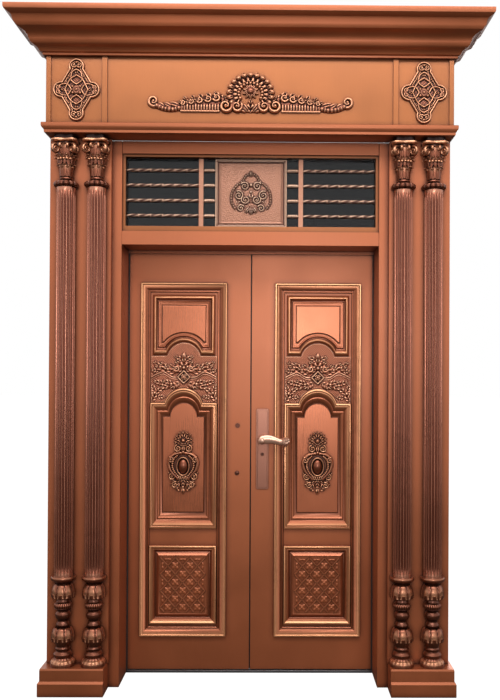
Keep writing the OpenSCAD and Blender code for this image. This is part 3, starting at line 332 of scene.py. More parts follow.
def cord_line(u, v, path, width, height, twist=0.0):
    """Round ridge along straight runs between points; twist cuts slanting notches into it."""
    rise = np.full_like(u, DEEP)
    gone = 0.0
    for p, q in zip(path[:-1], path[1:]):
        run = q - p
        length = math.hypot(*run)
        t = unit(((u - p[0]) * run[0] + (v - p[1]) * run[1]) / length ** 2)
        d = np.hypot(u - p[0] - t * run[0], v - p[1] - t * run[1]) / width
        tall = height
        if twist:
            tall = height * (0.8 + 0.2 * np.sin(2 * np.pi * (gone + t * length) / twist))
        rise = np.maximum(rise, rolled(d, tall))
        gone += length
    return rise


def rounded_path(points, count):
    """Points of a smooth open curve through the given ones (Catmull and Rom's cubic)."""
    p = np.asarray(points, float)
    p = np.concatenate([2 * p[:1] - p[1:2], p, 2 * p[-1:] - p[-2:-1]])
    t = np.linspace(0, 1, count, endpoint=False)[None, :, None]
    a, b, c, d = (p[k:len(p) - 3 + k, None, :] for k in range(4))
    bend = (2 * a - 5 * b + 4 * c - d) * t ** 2 + (3 * b - a - 3 * c + d) * t ** 3
    out = 0.5 * (2 * b + (c - a) * t + bend)
    return np.concatenate([out.reshape(-1, 2), p[-2:-1]])


def gadroons(u, v, box, count, height):
    """A strip of upright humps between two plain fillets."""
    s = (u - box[0]) / (box[1] - box[0])
    t = (v - box[2]) / (box[3] - box[2])
    wave = 0.35 + 0.65 * np.sqrt(np.abs(np.sin(np.pi * count * s)))
    hump = height * wave * unit(np.sin(np.pi * t)) ** 0.3
    fillet = np.where((t < 0.16) | (t > 0.84), height * 0.8, 0)
    return np.where((s > 0) & (s < 1) & (t > 0) & (t < 1), np.maximum(hump, fillet), DEEP)


def hammered(u, v, level, depth, across, up):
    """Uneven ground: two crossed waves, each bent by the other direction."""
    a = np.sin(u * across[0] + across[1] * np.sin(v * across[2]))
    b = np.sin(v * up[0] + up[1] * np.sin(u * up[2]))
    return level + depth * a * b


def most(*heights):
    """The highest of several strokes."""
    out = heights[0]
    for h in heights[1:]:
        out = np.maximum(out, h)
    return out


def carved(u, v, leaves=(), petals=(), beads=(), scrolls=(), cords=()):
    """The highest of the strokes in some tables: each row is a place and then the stroke's own values."""
    tables = ((acanthus, leaves), (petal, petals), (bead, beads), (scroll, scrolls))
    strokes = [stroke(u, v, (x, y), *shape) for stroke, rows in tables for x, y, *shape in rows]
    strokes += [cord_line(u, v, rounded_path(path, count), *shape) for path, count, *shape in cords]
    return most(*strokes)


# Ornaments, all mirrored about their middle line

def crest_height(u, v):
    """Arch of rolled leaves round a rosette, volutes, gadrooned strips, leaf scrolls and curled tails."""
    u = np.abs(u)
    leaves = [(0, -90, 90, 62, 46, 17, 3), (84, -54, 60, 54, 34, 16, 3, -0.2),
              (112, -40, 48, 58, 36, 17, 3, -0.2)]
    petals = [(8, -88, 52, 62, 28, 15), (16, -86, 24, 52, 24, 14), (318, -64, 22, 60, 34, 14, -0.1),
              (352, -70, 30, 50, 30, 13), (388, -68, 34, 42, 26, 12)]
    petals += [(0, 8, 90 - 36 * k, 40, 20, 15) for k in range(6)]
    beads = [(0, 8, 21, 20)]
    scrolls = [(112, -60, 30, 9, 150, 1.2, 11, 18), (62, -62, 25, 8, 150, 1.2, 10, 17),
               (440, -40, 24, 8, 255, 1.2, 9, 13)]
    for k in range(8):
        c, s = cos_sin(90 - k * 17)
        leaves.append((56 * c, 48 * s - 4, math.degrees(math.atan2(96 * s, 108 * c)), 54, 44, 22, 2))
        beads += [(98 * c, 84 * s - 4, 13, 20), (54 * c, 46 * s - 2, 9, 15)]
    for k in range(5):
        x = 38 * k
        size = 1 - 0.1 * k
        leaves += [(132 + x, -52, 70, 66 * size, 58 * size, 18, 2, -0.15),
                   (146 + x, -52, 30, 58 * size, 50 * size, 16, 2, -0.2)]
        scrolls.append((154 + x, -24 - 6 * k, 17 * size, 6, 200, 1.1, 9 * size, 17, -1))
    tails = [([(306, -66), (352, -76), (394, -72), (430, -58)], 5, 13, 13, 15)]
    strip = gadroons(u, v, (140, 318, -88, -46), 14, 12)
    return np.where(v < 92, most(strip, carved(u, v, leaves, petals, beads, scrolls, tails)), DEEP)


def lozenge_height(u, v):
    """Four-lobed plate with a double rim, interlaced bands, scrolls, leaves and a rosette."""
    au, av = np.abs(u), np.abs(v)
    flank = np.minimum((1 - au / 90 - av / 152) * 77, 142 - av)
    inside = most(flank, 36 - np.hypot(au, av - 106), 38 - np.hypot(au - 69, av))
    rims = [rolled((inside - at) / half, tall) for at, half, tall in ((5.5, 5.5, 12.5), (15, 3.4, 9))]
    leaves = [(0, 62, 90, 34, 22, 13, 3), (40, 0, 0, 34, 20, 13, 3), (26, 40, 62, 34, 20, 12, 3),
              (34, 30, 20, 30, 18, 12, 3)]
    petals = [(0, 0, k * 22.5, 27, 13, 13) for k in range(5)]
    beads = [(0, 0, 10, 15), (17, 14, 7, 13), (0, 124, 7, 12), (34, 60, 6, 12)]
    scrolls = [(13, 112, 12, 4, 200, 1.2, 5, 12), (80, 10, 11, 4, 250, 1.2, 5, 12)]
    bands = [([(0, 66), (28, 46), (52, 0)], 6, 4.5, 12),
             ([(0, 24), (24, 44), (20, 78), (0, 92)], 6, 4.5, 11),
             ([(22, 0), (40, 24), (70, 22), (86, 0)], 6, 4.5, 11)]
    ground = 3 + 0.8 * np.sin(0.5 * u) * np.sin(0.5 * v)
    rise = most(ground, *rims, carved(au, av, leaves, petals, beads, scrolls, bands))
    return np.where(inside > 0, rise, DEEP)


def medallion_height(u, v):
    """Cartouche: egg in a scrolled shield, a palmette with a rosette over it, a cup and pendant below."""
    u = np.abs(u)
    shield = 1 - (u / 66) ** 2 - ((v + 18) / 62) ** 2
    ring = 1 - (u / 33) ** 2 - ((v + 21) / 48) ** 2
    collar = 10 + 8 * np.sin(np.pi * unit(ring / 0.36))
    leaves = [(44, -46, -20, 34, 20, 14, 3), (52, -22, 8, 27, 18, 13, 3), (30, -78, -50, 52, 26, 14, 3),
              (14, -90, -68, 56, 26, 14, 3), (0, -72, -90, 62, 34, 16, 4)]
    leaves += [(0, 104, 90 - k * 25.7, 50 if k < 5 else 34, 24, 16, 3) for k in range(8)]
    petals = [(0, 40, 90, 44, 26, 16), (0, -126, -90, 32, 22, 15)]
    beads = [(0, -21, 25, 22, 1.54), (0, 104, 11, 20), (14, 118, 6, 17), (17, 98, 6, 17), (0, 48, 10, 18),
             (15, 44, 8, 16), (22, -138, 7, 12)]
    pearls = rounded_path([(30, 30), (46, 12), (52, -18), (44, -44), (26, -66)], 3)
    beads += [(*p, 7, 18) for p in pearls]
    scrolls = [(26, 66, 17, 4, 100, 1.5, 6, 16, -1), (60, 10, 14, 5, 60, 1.2, 6.5, 17),
               (52, -72, 16, 4, 110, 1.4, 5.5, 15, -1), (40, -112, 15, 4, 60, 1.4, 5.5, 14, -1)]
    rim = [([(10, 44), (38, 38), (60, 22), (70, -6), (63, -36), (44, -62), (26, -80)], 5, 9, 16)]
    return most(np.where(shield > 0, 5.0, DEEP), np.where((ring > 0) & (ring < 0.36), collar, DEEP),
                gadroons(u, v, (-26, 26, -84, -68), 5, 17), carved(u, v, leaves, petals, beads, scrolls, rim))


def field_gap(u, v):
    """How far a point lies inside the field that the two arched frames leave: below 0 is outside."""
    low, high = 1319 - CARVING_Z, 1545 - CARVING_Z
    inner = np.minimum(161 - np.abs(u), np.minimum(v - low, high - v))
    bulge = 83 - np.hypot(u, v - (UPPER_ARCH_Z - CARVING_Z))
    return np.minimum(np.maximum(inner, bulge), np.hypot(u, v - (LOWER_ARCH_Z - CARVING_Z)) - 100)


def carving_height(u, v):
    """Knotted flower under a palmette, wings of leaves over an ogee line, corner sprays, stippled ground."""
    au = np.abs(u)
    leaves = [
        (0, 30, 90, 62, 52, 15, 3), (4, 32, 60, 58, 44, 14, 3, -0.2), (10, 26, 30, 54, 42, 14, 3, -0.2),
        (6, 76, 40, 48, 34, 12, 3, -0.2), (36, 16, 58, 60, 44, 14, 3, -0.2),
        (48, 14, 28, 62, 44, 14, 3, 0.15), (78, 30, 52, 58, 42, 13, 3, -0.2),
        (92, 30, 18, 58, 39, 13, 3, 0.15), (118, 40, 58, 46, 36, 12, 3, -0.2),
        (126, 24, 10, 36, 34, 12, 3), (20, -34, -14, 58, 42, 13, 3, -0.2), (24, -30, -44, 46, 36, 13, 3),
        (60, -34, 14, 50, 36, 12, 3), (66, -38, -34, 54, 39, 13, 3, 0.15), (104, -36, 16, 50, 36, 12, 3),
        (156, -120, 118, 50, 39, 13, 3), (158, -112, 80, 52, 36, 13, 3),
        (136, -84, 130, 48, 36, 12, 3, 0.15), (144, -76, 70, 44, 34, 12, 3),
        (128, -104, 170, 40, 31, 11, 3),
    ]
    petals = [(0, 84, 90, 34, 22, 12)]
    petals += [(0, -4, 45 - 90 * k, 22, 17, 12, 0, 0.5) for k in range(4)]
    beads = [(0, -4, 8, 15), (0, 42, 9, 16), (18, 46, 8, 14), (78, 34, 9, 14), (116, 44, 8, 13),
             (62, -38, 9, 14), (104, -42, 8, 13), (142, -82, 9, 14)]
    scrolls = [(36, 38, 14, 5, 200, 1.1, 8, 13, -1)]
    ogee = [([(24, -6), (60, -2), (96, 20), (128, 12), (166, -8)], 6, 4.5, 7),
            ([(24, -16), (60, -12), (98, 9), (128, 2), (166, -19)], 6, 3, 5)]
    knot = rolled((au + np.abs(v + 4) - 30) / 6, 13)
    ground = hammered(u, v, 2.6, 0.9, (0.62, 0.8, 0.21), (0.6, 0.9, 0.17))
    inside = field_gap(u, v)
    rise = most(ground, knot, carved(au, v, leaves, petals, beads, scrolls, ogee))
    return np.where(inside > 0, np.minimum(rise, 2.1 + inside * 2), DEEP)


def relief_height(u, v):
    """Hammered plate, framed, with a domed palmette of scrolls under a finial."""
    au = np.abs(u)
    edge = np.minimum(168 - au, 160 - np.abs(v))
    border = np.where(edge < 30, np.where(edge < 12, 9.5, 7 - 3 * np.abs(edge - 20) / 10), DEEP)
    ground = hammered(u, v, 5.2, 0.8, (0.42, 1.7, 0.19), (0.45, 1.9, 0.17))
    leaves = [(0, -66, 90, 88, 36, 13, 4), (36, -60, 60, 60, 26, 12, 3), (62, -62, 88, 44, 22, 12, 3)]
    petals = [(0, 76, 90, 36, 20, 13), (0, -60, -90, 46, 26, 13.5), (6, -62, -56, 42, 22, 13)]
    beads = [(0, 40, 10, 14)]
    scrolls = [(30, 34, 20, 5, 30, 1.5, 5.5, 13), (58, -10, 22, 5, 60, 1.6, 5.5, 13),
               (26, -30, 21, 5, 120, 1.6, 5.5, 13, -1), (48, -70, 17, 4, 20, 1.4, 5, 12, -1)]
    dome = [([(0, 92), (24, 84), (40, 58), (66, 38), (88, 6), (92, -40), (74, -74)], 5, 5.5, 13, 12)]
    return most(ground, border, np.minimum(carved(au, v, leaves, petals, beads, scrolls, dome), 13.5))


def lattice_bars():
    """Slanting ribs of the lattice, each a rounded bar clipped to the field's rectangle."""
    section = [(-5.2, -1), (-4.6, 2.2), (-2.2, 4.8), (2.2, 4.8), (4.6, 2.2), (5.2, -1)]
    # Painted light: the bars' feet darker, their tops lighter.
    ridge = [0.1, 0.5, 0.72, 0.72, 0.5, 0.1]
    limits = ((-110, 110), (-1.5, 265.5))
    tilt = math.atan2(DIAMOND_H, DIAMOND_W)
    parts = []
    for sign in (-1, 1):
        along_bar = np.array([math.cos(tilt), sign * math.sin(tilt)])
        across = np.array([-along_bar[1], along_bar[0]])
        for k in range(-7, 8):
            at = np.array([k * DIAMOND_W, LATTICE_H - DIAMOND_H / 2])
            low, high = -1e9, 1e9
            for axis in (0, 1):
                t = sorted((end - at[axis]) / along_bar[axis] for end in limits[axis])
                low, high = max(low, t[0]), min(high, t[1])
            if high - low < 8:
                continue
            rings = [[[*(at + along_bar * t + across * s), FIELD_RISE + h] for s, h in section]
                     for t in (low + 1.5, high - 1.5)]
            parts.append(closed_tube(np.array(rings) + [0, LATTICE_Z, 0], ridge, (MID_RIDGE, MID_RIDGE)))
    return parts


def lattice_flowers(u, v):
    """A faint four-petalled flower in the middle of each diamond of the lattice."""
    strokes = []
    for shift, half in ((0.5, 0.5), (0.0, 1.0)):
        a = np.abs(np.mod(u / DIAMOND_W - shift + 0.5, 1) - 0.5) * DIAMOND_W
        b = np.abs(np.mod((LATTICE_H - v) / DIAMOND_H - half + 0.5, 1) - 0.5) * DIAMOND_H
        flower = most(bead(a, b, (0, 0), 6.5, 3.2), petal(a, b, (0, 0), 45, 24, 17, 2.2, 0, 0))
        strokes.append(np.where((np.abs(u) < 104) & (v > 5) & (v < 259), flower, DEEP))
    return most(*strokes)


# Mouldings: profiles are (share of the width inwards, share of the height)

BOLECTION = [
    (0, 0), (0, 0.8), (0.03, 0.93), (0.07, 1), (0.13, 1), (0.17, 0.95), (0.19, 0.8), (0.22, 0.74),
    (0.3, 0.71), (0.42, 0.63), (0.55, 0.5), (0.66, 0.37), (0.74, 0.25), (0.77, 0.2), (0.8, 0.2),
    (0.82, 0.34), (0.86, 0.4), (0.92, 0.4), (0.96, 0.32), (0.98, 0.18), (1, 0.14), (1, 0),
]
UPPER = [
    (0, 0), (0, 0.25), (0.05, 0.36), (0.12, 0.62), (0.18, 0.78), (0.23, 0.83), (0.28, 0.8), (0.31, 0.66),
    (0.35, 0.6), (0.4, 0.34), (0.46, 0.18), (0.5, 0.15), (0.54, 0.18), (0.58, 0.42), (0.63, 0.52),
    (0.69, 0.5), (0.73, 0.36), (0.78, 0.34), (0.9, 0.4), (0.93, 0.18), (0.955, 0.16), (0.97, 0.4),
    (1, 0.45),
]
TALL = [
    (0, 0), (0, 0.75), (0.02, 0.85), (0.05, 0.91), (0.1, 0.9), (0.12, 0.66), (0.15, 0.62), (0.18, 0.76),
    (0.23, 0.8), (0.34, 0.6), (0.44, 0.4), (0.5, 0.28), (0.53, 0.26), (0.55, 0.42), (0.58, 0.48),
    (0.63, 0.46), (0.74, 0.28), (0.84, 0.12), (0.89, 0.05), (0.94, 0.04), (0.96, 0.1), (0.975, 0.38),
    (1, 0.45),
]
LOW = [
    (0, 0), (0, 0.8), (0.02, 0.9), (0.06, 0.96), (0.13, 0.96), (0.16, 0.86), (0.24, 0.76), (0.3, 0.63),
    (0.32, 0.6), (0.34, 0.66), (0.38, 0.67), (0.46, 0.46), (0.54, 0.2), (0.58, 0.06), (0.61, 0.02),
    (0.64, 0.04), (0.72, 0.16), (0.82, 0.31), (0.91, 0.45), (0.94, 0.5), (0.97, 0.48), (1, 0.45),
]
CROWN = [
    (0.0, 0), (0.08, 0.001), (0.095, 0.045), (0.155, 0.07), (0.2, 0.14), (0.265, 0.185), (0.335, 0.207),
    (0.375, 0.24), (0.415, 0.32), (0.44, 0.39), (0.5, 0.46), (0.6, 0.51), (0.7, 0.545), (0.77, 0.63),
    (0.805, 0.75), (0.835, 0.79), (0.93, 0.83), (0.985, 0.87), (1, 0.91), (1, 1),
]
LEDGE = [(0, 0), (0.35, 0.06), (0.4, 0.3), (0.9, 0.55), (1, 0.7), (1, 0.95), (0.9, 1)]


def raised(outline, share):
    """An outline at a share of the mouldings' height."""
    return np.column_stack([outline, np.full(len(outline), share * MOULDING_RISE)])


def mitred_frame(path, width, profile):
    """A profile carried round a closed outline with mitred corners."""
    path = np.asarray(path, float)
    back = path - np.roll(path, 1, 0)
    ahead = np.roll(path, -1, 0) - path
    left = [np.stack([-d[:, 1], d[:, 0]], -1) / np.linalg.norm(d, axis=1)[:, None] for d in (back, ahead)]
    mitre = (left[0] + left[1]) / (1 + (left[0] * left[1]).sum(1))[:, None]
    rings = [raised(path + mitre * s * width, h) for s, h in profile]
    return np.concatenate(rings), [ring_quads(len(rings), len(path), True)]


def pressed_panel(outer, inner, profile):
    """A panel pressed in steps: rings blended from an outer to an inner outline, closed by a raised field."""
    outer, inner = np.asarray(outer, float), np.asarray(inner, float)
    profile = profile + [(1.03, profile[-1][1])]
    count = len(outer)
    rings = [raised(outer + (inner - outer) * s, h) for s, h in profile]
    i = np.arange(1, count - 1)
    last = (len(profile) - 1) * count
    caps = np.concatenate([np.stack([0 * i, i + 1, i], -1),
                           np.stack([0 * i + last, last + i, last + i + 1], -1)])
    return np.concatenate(rings), [ring_quads(len(profile), count), caps]


def crown_block(shares, out, low, tall):
    """A profile carried round the three free sides of a block against the wall, closed on top and below."""
    s = np.asarray(shares, float)
    grow, z = s[:, 0] * out, low + s[:, 1] * tall
    front, back = CROWN_FRONT - grow, np.full_like(grow, CROWN_BACK)
    corners = ((-1, front), (1, front), (1, back), (-1, back))
    return closed_tube(np.stack([np.stack([sx * (CROWN_HALF + grow), y, z], -1) for sx, y in corners], 1))


def rect(w, low, high):
    """Outline of a rectangle about the middle line."""
    return [(-w / 2, low), (w / 2, low), (w / 2, high), (-w / 2, high)]


def arch(centre, radius, start, end, steps=28):
    """Points of an arc between two angles."""
    angles = np.radians(np.linspace(start, end, steps + 1))
    return [(radius * math.cos(t), centre + radius * math.sin(t)) for t in angles]


def upper_outline(half, low, top, centre, radius):
    """Rectangle whose foot is cut by an arch."""
    a = math.degrees(math.asin((low - centre) / radius))
    foot = arch(centre, radius, 180 - a, a)
    return [(0, top), (-half, top), (-half, low)] + foot + [(half, low), (half, top)]


def tall_outline(half, low, shoulder, centre, radius):
    """Rectangle with shoulders and an arch over them."""
    a = math.degrees(math.asin((shoulder - centre) / radius))
    head = arch(centre, radius, a, 180 - a)
    return [(-half, low), (half, low), (half, shoulder)] + head + [(-half, shoulder)]


def leaf_mouldings():
    """Outer frame and the upper, tall and lattice panels of a leaf as one shell list."""
    half_chord, rise, crown = 99.5, 47.0, 1664
    radius = (half_chord * half_chord + rise * rise) / (2 * rise)
    upper_outer = upper_outline(half=152.5, low=1548, top=1845, centre=UPPER_ARCH_Z, radius=86)
    upper_inner = upper_outline(half=104.5, low=1617, top=1790, centre=crown - radius, radius=radius)
    tall_outer = tall_outline(half=163, low=702, shoulder=1316, centre=LOWER_ARCH_Z, radius=97)
    tall_inner = tall_outline(half=98, low=785, shoulder=1244, centre=1247, radius=64)
    shells = [mitred_frame(rect(422, 177, 1904), 47, BOLECTION),
              pressed_panel(upper_outer, upper_inner, UPPER),
              pressed_panel(tall_outer, tall_inner, TALL),
              pressed_panel(rect(326, 238, 619), rect(226, 288, 569), LOW)]
    # Painted light: the higher a point of the mouldings stands, the lighter its ridge value.
    return [(p, f, unit(0.35 + p[:, 2] / MOULDING_RISE * 0.6)) for p, f in shells]


# Turned and leafed column pieces: profiles are (share of the radius, share of the height)

BASE = [
    (0.97, 0), (0.97, 0.04), (0.9, 0.06), (0.74, 0.075), (0.66, 0.09), (0.7, 0.11), (0.74, 0.13),
    (0.66, 0.15), (0.54, 0.165), (0.58, 0.18), (0.6, 0.195), (0.52, 0.21), (0.54, 0.24), (0.58, 0.28),
    (0.6, 0.32), (0.56, 0.36), (0.46, 0.4), (0.44, 0.425), (0.5, 0.435), (0.55, 0.455), (0.5, 0.475),
    (0.42, 0.49), (0.44, 0.515), (0.56, 0.53), (0.62, 0.555), (0.62, 0.575), (0.56, 0.595), (0.46, 0.61),
    (0.5, 0.625), (0.66, 0.64), (0.7, 0.66), (0.7, 0.68), (0.64, 0.7), (0.52, 0.715), (0.48, 0.74),
    (0.5, 0.79), (0.54, 0.84), (0.6, 0.88), (0.6, 0.9), (0.56, 0.915), (0.62, 0.935), (0.88, 0.95),
    (0.98, 0.965), (0.98, 0.985), (0.93, 1),
]
BELL = [
    (0.72, 0), (0.75, 0.012), (0.9, 0.02), (0.96, 0.045), (0.96, 0.085), (0.9, 0.108), (0.6, 0.12),
    (0.44, 0.135), (0.48, 0.15), (0.52, 0.165), (0.5, 0.185), (0.42, 0.2), (0.4, 0.22), (0.42, 0.27),
    (0.45, 0.32), (0.48, 0.37), (0.5, 0.42), (0.5, 0.46), (0.5, 0.5), (0.54, 0.58), (0.58, 0.66),
    (0.62, 0.76), (0.7, 0.86),
]
PLATE = [(0.9, 0.868), (0.93, 0.872), (0.99, 0.88), (1, 0.885), (1, 0.908), (0.99, 0.914), (0.84, 0.918),
         (0.8, 0.922), (0.8, 1)]


def turned_grid(z, radius, back=COLUMN_BACK):
    """Rings about the column's axis: radius (rings, around) at heights z, cut flat behind."""
    a = turn(radius.shape[1])[None, :]
    x, y = radius * np.cos(a), np.minimum(radius * np.sin(a), back)
    return np.stack([x, y, np.broadcast_to(z[:, None], x.shape)], -1)


def along(shares, count):
    """A profile of (radius, height) shares, resampled evenly along its line and kept at its own points."""
    s = np.asarray(shares, float)
    steps = np.concatenate([[0], np.cumsum(np.hypot(np.diff(s[:, 0]), np.diff(s[:, 1]) * 3))])
    t = np.unique(np.concatenate([np.linspace(0, steps[-1], count), steps]))
    return np.interp(t, steps, s[:, 0]), np.interp(t, steps, s[:, 1])


def leaf_rings(angle, out, up, half, rise, q, hug, widest=np.inf):
    """Rings of a leaf about the column: spine (out, up), half width and rise, bent round the core."""
    run = np.stack([np.gradient(out), np.gradient(up)], -1)
    run = run / np.maximum(np.linalg.norm(run, axis=1), 1e-6)[:, None]
    side = half[:, None] * np.cos(q)
    radial = out[:, None] + rise * run[:, 1:] - side ** 2 / (hug * np.maximum(out, 20))[:, None]
    radial = np.minimum(radial, widest)
    height = up[:, None] - rise * run[:, :1]
    c, s = cos_sin(angle)
    return np.stack([radial * c - side * s, np.minimum(radial * s + side * c, LEAF_BACK), height], -1)


def curled_leaf(angle, foot, low, tall, wide, lean, curl, thick=3.2):
    """A thick leaf round the column: its spine leans out as it rises and curls over at the tip."""
    t = np.linspace(0, 1, 16)
    q = turn(14)
    out = foot + lean * t ** 1.6 + curl * unit((t - 0.62) / 0.38) ** 1.5
    bow = 0.12 * tall * np.sin(np.pi * np.clip(t, 0, 0.8) / 0.8)
    up = low + tall * np.sin(np.pi * 0.58 * t) / math.sin(math.pi * 0.58) + bow
    lobes = 0.82 + 0.18 * np.abs(np.sin(3.2 * np.pi * t))
    half = 0.5 * wide * np.sin(np.pi * (0.14 + 0.8 * t)) ** 0.7 * lobes
    groove = 1 - 0.55 * np.exp(-(np.cos(q) / 0.25) ** 2) * (np.sin(q) > 0)
    rise = thick * (1 - 0.45 * t)[:, None] * np.sin(q) * groove
    # Painted light: the leaf grows lighter towards its tip and on its grooved face, darker at its foot.
    crest = unit(0.3 + 0.55 * t[:, None] + 0.25 * np.sin(q))
    return closed_tube(leaf_rings(angle, out, up, half, rise, q, 2.2), crest, (0.3, 0.9))


def drooping_leaf(angle, foot, top, drop, wide, reach, thick=4.0):
    """A leaf that hangs from its foot ring: its spine swings out and down and turns up in a fat curl."""
    t = np.linspace(0, 1, 22)
    q = turn(16)
    swing = np.pi * 1.25 * t
    spread = reach * np.sin(np.clip(swing, 0, np.pi * 0.62)) * (0.35 + 0.65 * t)
    out = foot + spread + 0.12 * reach * np.sin(swing)
    fall = drop * (1 - np.cos(np.clip(swing, 0, np.pi))) / 2
    up = top - fall + 0.28 * drop * unit((t - 0.78) / 0.22) ** 1.4
    lobes = 0.8 + 0.2 * np.abs(np.sin(3.3 * np.pi * t))
    half = 0.5 * wide * np.sin(np.pi * (0.1 + 0.82 * t)) ** 0.6 * lobes
    groove = 1 - 0.5 * np.exp(-(np.cos(q) / 0.22) ** 2) * (np.sin(q) < 0)
    rise = thick * (0.55 + 0.75 * t)[:, None] * np.sin(q) * groove
    rings = leaf_rings(angle, out, up, half, rise, q, 2.4, widest=56.5)
    # Painted light: the leaf grows lighter towards its curled tip and on its grooved face, darker at its
    # foot.
    crest = unit(0.25 + 0.6 * t[:, None] - 0.35 * np.sin(q))
    return closed_tube(rings[::-1], crest[::-1], (0.9, 0.3))


def leaf_row(leaf, count, shift, *shape):
    """Leaves of one kind round the free front of a column."""
    angles = [180 + (k + shift) * 180 / count for k in range(count + 1)]
    return [leaf(a, *shape) for a in angles if a < 361]


def column_base():
    """Turned pedestal: a lobed foot, a gadrooned bulb, a beaded ring and two crowns of drooping leaves."""
    r, t = along(BASE, 100)
    around = 88
    a = turn(around)[None, :]
    tt = t[:, None]
    foot = 3.5 * np.abs(np.sin(8 * a)) * swell(tt, 0.06, 0.04)
    gadroon = 2.4 * np.abs(np.sin(9 * a)) ** 0.7 * swell(tt, 0.28, 0.07)
    beads = 4.2 * np.abs(np.sin(11 * a)) ** 0.6 * swell(tt, 0.67, 0.035)
    radius = np.repeat((r * BASE_R)[:, None], around, 1) - 3.5 * swell(tt, 0.06, 0.04)
    radius = radius + foot + gadroon + beads - 3 * (np.abs(tt - 0.67) < 0.03)
    # Painted light: lobes, gadroons and beads lighter, faces turned down darker and faces turned up lighter
    # by their slope, and the outer radius lighter than the core.
    slope = np.gradient(r * BASE_R, t * BASE_H)[:, None]
    painted_light = 0.05 * (foot + gadroon + beads) - 0.14 * np.clip(slope, -2, 2)
    dark = unit(0.2 + (radius / BASE_R) ** 2 * 0.5 + painted_light)
    parts = [closed_tube(turned_grid(t * BASE_H, np.minimum(radius, BASE_R + 0.5)), dark)]
    for row in ((4, 0, 33, 172, 58, 40, 20), (4, 0.5, 31, 160, 46, 30, 20),
                (4, 0, 31, 372, 62, 38, 23), (4, 0.5, 29, 366, 56, 32, 22)):
        parts += leaf_row(drooping_leaf, *row)
    return joined(parts)


def column_shaft():
    """Fluted shaft: the radius falls by a rounded notch at each flute, which runs out near both ends."""
    tips = np.array([0, 12, 26, 40, 54])
    z = np.concatenate([tips, np.linspace(70, SHAFT_H - 70, 24), (SHAFT_H - tips)[::-1]])
    across = np.abs(np.mod(turn(240)[None, :] / (2 * np.pi) * FLUTES, 1) - 0.5) * 2
    ends = unit(np.minimum(z - 12, SHAFT_H - 12 - z) / 40)[:, None] ** 0.5
    notch = np.sqrt(unit(1 - (across / 0.8) ** 2)) * ends
    # Painted shade in the flutes: the ridge value falls as the notch deepens.
    return closed_tube(turned_grid(z, SHAFT_R - FLUTE_DEPTH * notch), unit(0.8 - 0.5 * notch))


def spiral_ribbon(angle, centre, outer, turns, thick):
    """A round bar that winds into an eye, in the upright plane at the given angle about the column."""
    t = np.linspace(0, 1, 60)[:, None]
    r = outer * (1 - 0.85 * t)
    w = math.radians(100) - t * turns * 2 * np.pi
    c, s = cos_sin(angle)
    q = turn(10)
    bar = thick * (1 - 0.5 * t)
    radial = centre[0] + r * np.cos(w) + bar * np.sin(q) * np.cos(w)
    side = bar * 1.7 * np.cos(q)
    up = centre[1] + r * np.sin(w) + bar * np.sin(q) * np.sin(w)
    # Painted highlight: the whole ribbon takes a high ridge value.
    return closed_tube(np.stack([radial * c - side * s, radial * s + side * c, up], -1), 0.86, (0.86, 0.86))


def pearl(angle, out, up, radius):
    """A ball at an angle about the column."""
    c, s = cos_sin(angle)
    level = np.linspace(-1, 1, 9)[1:-1, None]
    q = turn(12)
    wide = np.sqrt(1 - level ** 2) * radius
    x, y = out * c + wide * np.cos(q), out * s + wide * np.sin(q)
    rings = np.stack([x, y, up + radius * level + 0 * q], -1)
    # Painted highlight: the whole pearl takes a high ridge value.
    return closed_tube(rings, 0.95, (0.95, 0.95))


def column_capital():
    """Capital: lobed collar, necking ring, bell with rows of leaves, volutes, pearls and a plate."""
    r, t = along(BELL, 80)
    around = 96
    a = turn(around)[None, :]
    tt = t[:, None]
    lobes = 7 * (1 - np.abs(np.sin(6 * a)) ** 0.7) * unit(1 - (tt / 0.125) ** 6)
    radius = np.repeat((r * CAPITAL_R)[:, None], around, 1)
    radius = radius - lobes + 2.5 * np.abs(np.sin(5 * a)) * swell(tt, 0.36, 0.09)
    # Painted light: a lighter band at the necking ring and over the lower bell, lobes darker, and the outer
    # radius lighter than the core.
    painted_light = 0.3 * (np.abs(tt - 0.175) < 0.02) + 0.12 * (tt > 0.24) * (tt < 0.44)
    dark = unit(0.12 + (radius / CAPITAL_R) ** 2 * 0.45 - lobes * 0.03 + painted_light)
    parts = [closed_tube(turned_grid(t * CAPITAL_H, radius), dark, (0.4, 0.4))]
    for row in ((4, 0, 27, 50, 52, 26, 13, 5, 4.5), (4, 0.5, 26, 48, 42, 22, 10, 5, 4),
                (6, 0, 36, 100, 34, 19, 12, 6), (6, 0.5, 34, 112, 34, 18, 14, 5)):
        parts += leaf_row(curled_leaf, *row)
    for away, *shape in ((0, 37, 140, 52, 24, 12, 6), (20, 36, 130, 62, 16, 17, 4),
                         (54, 36, 128, 60, 17, 17, 4), (36, 36, 134, 44, 15, 16, 5)):
        parts += [curled_leaf(angle, *shape) for angle in sorted({270 - away, 270 + away})]
    for away, *shape in ((45, (56, 172), 22, 1.6, 5), (18, (49, 184), 12, 1.4, 3.4),
                         (78, (45, 172), 17, 1.4, 4)):
        parts += [spiral_ribbon(angle, *shape) for angle in (-90 - away, -90 + away)]
    parts += [pearl(angle, 46, 126, 6) for angle in (-90, -108, -72, -126, -54)]
    plate = np.array(PLATE)
    q = a + math.pi / around
    square = CAPITAL_R / np.maximum(np.abs(np.cos(q)), np.abs(np.sin(q))) * (1 - 0.1 * np.cos(2 * q) ** 4)
    rings = turned_grid(plate[:, 1] * CAPITAL_H, plate[:, :1] * np.minimum(square, 74), 10.0)
    # Painted light: the plate's edge is painted highlight, its top above it painted shadow under the ledge.
    parts.append(closed_tube(rings, np.where(plate[:, 1:] < 0.915, 0.92, 0.1), (0.1, 0.1)))
    return joined(parts)


# Transom rods, levers and small trim

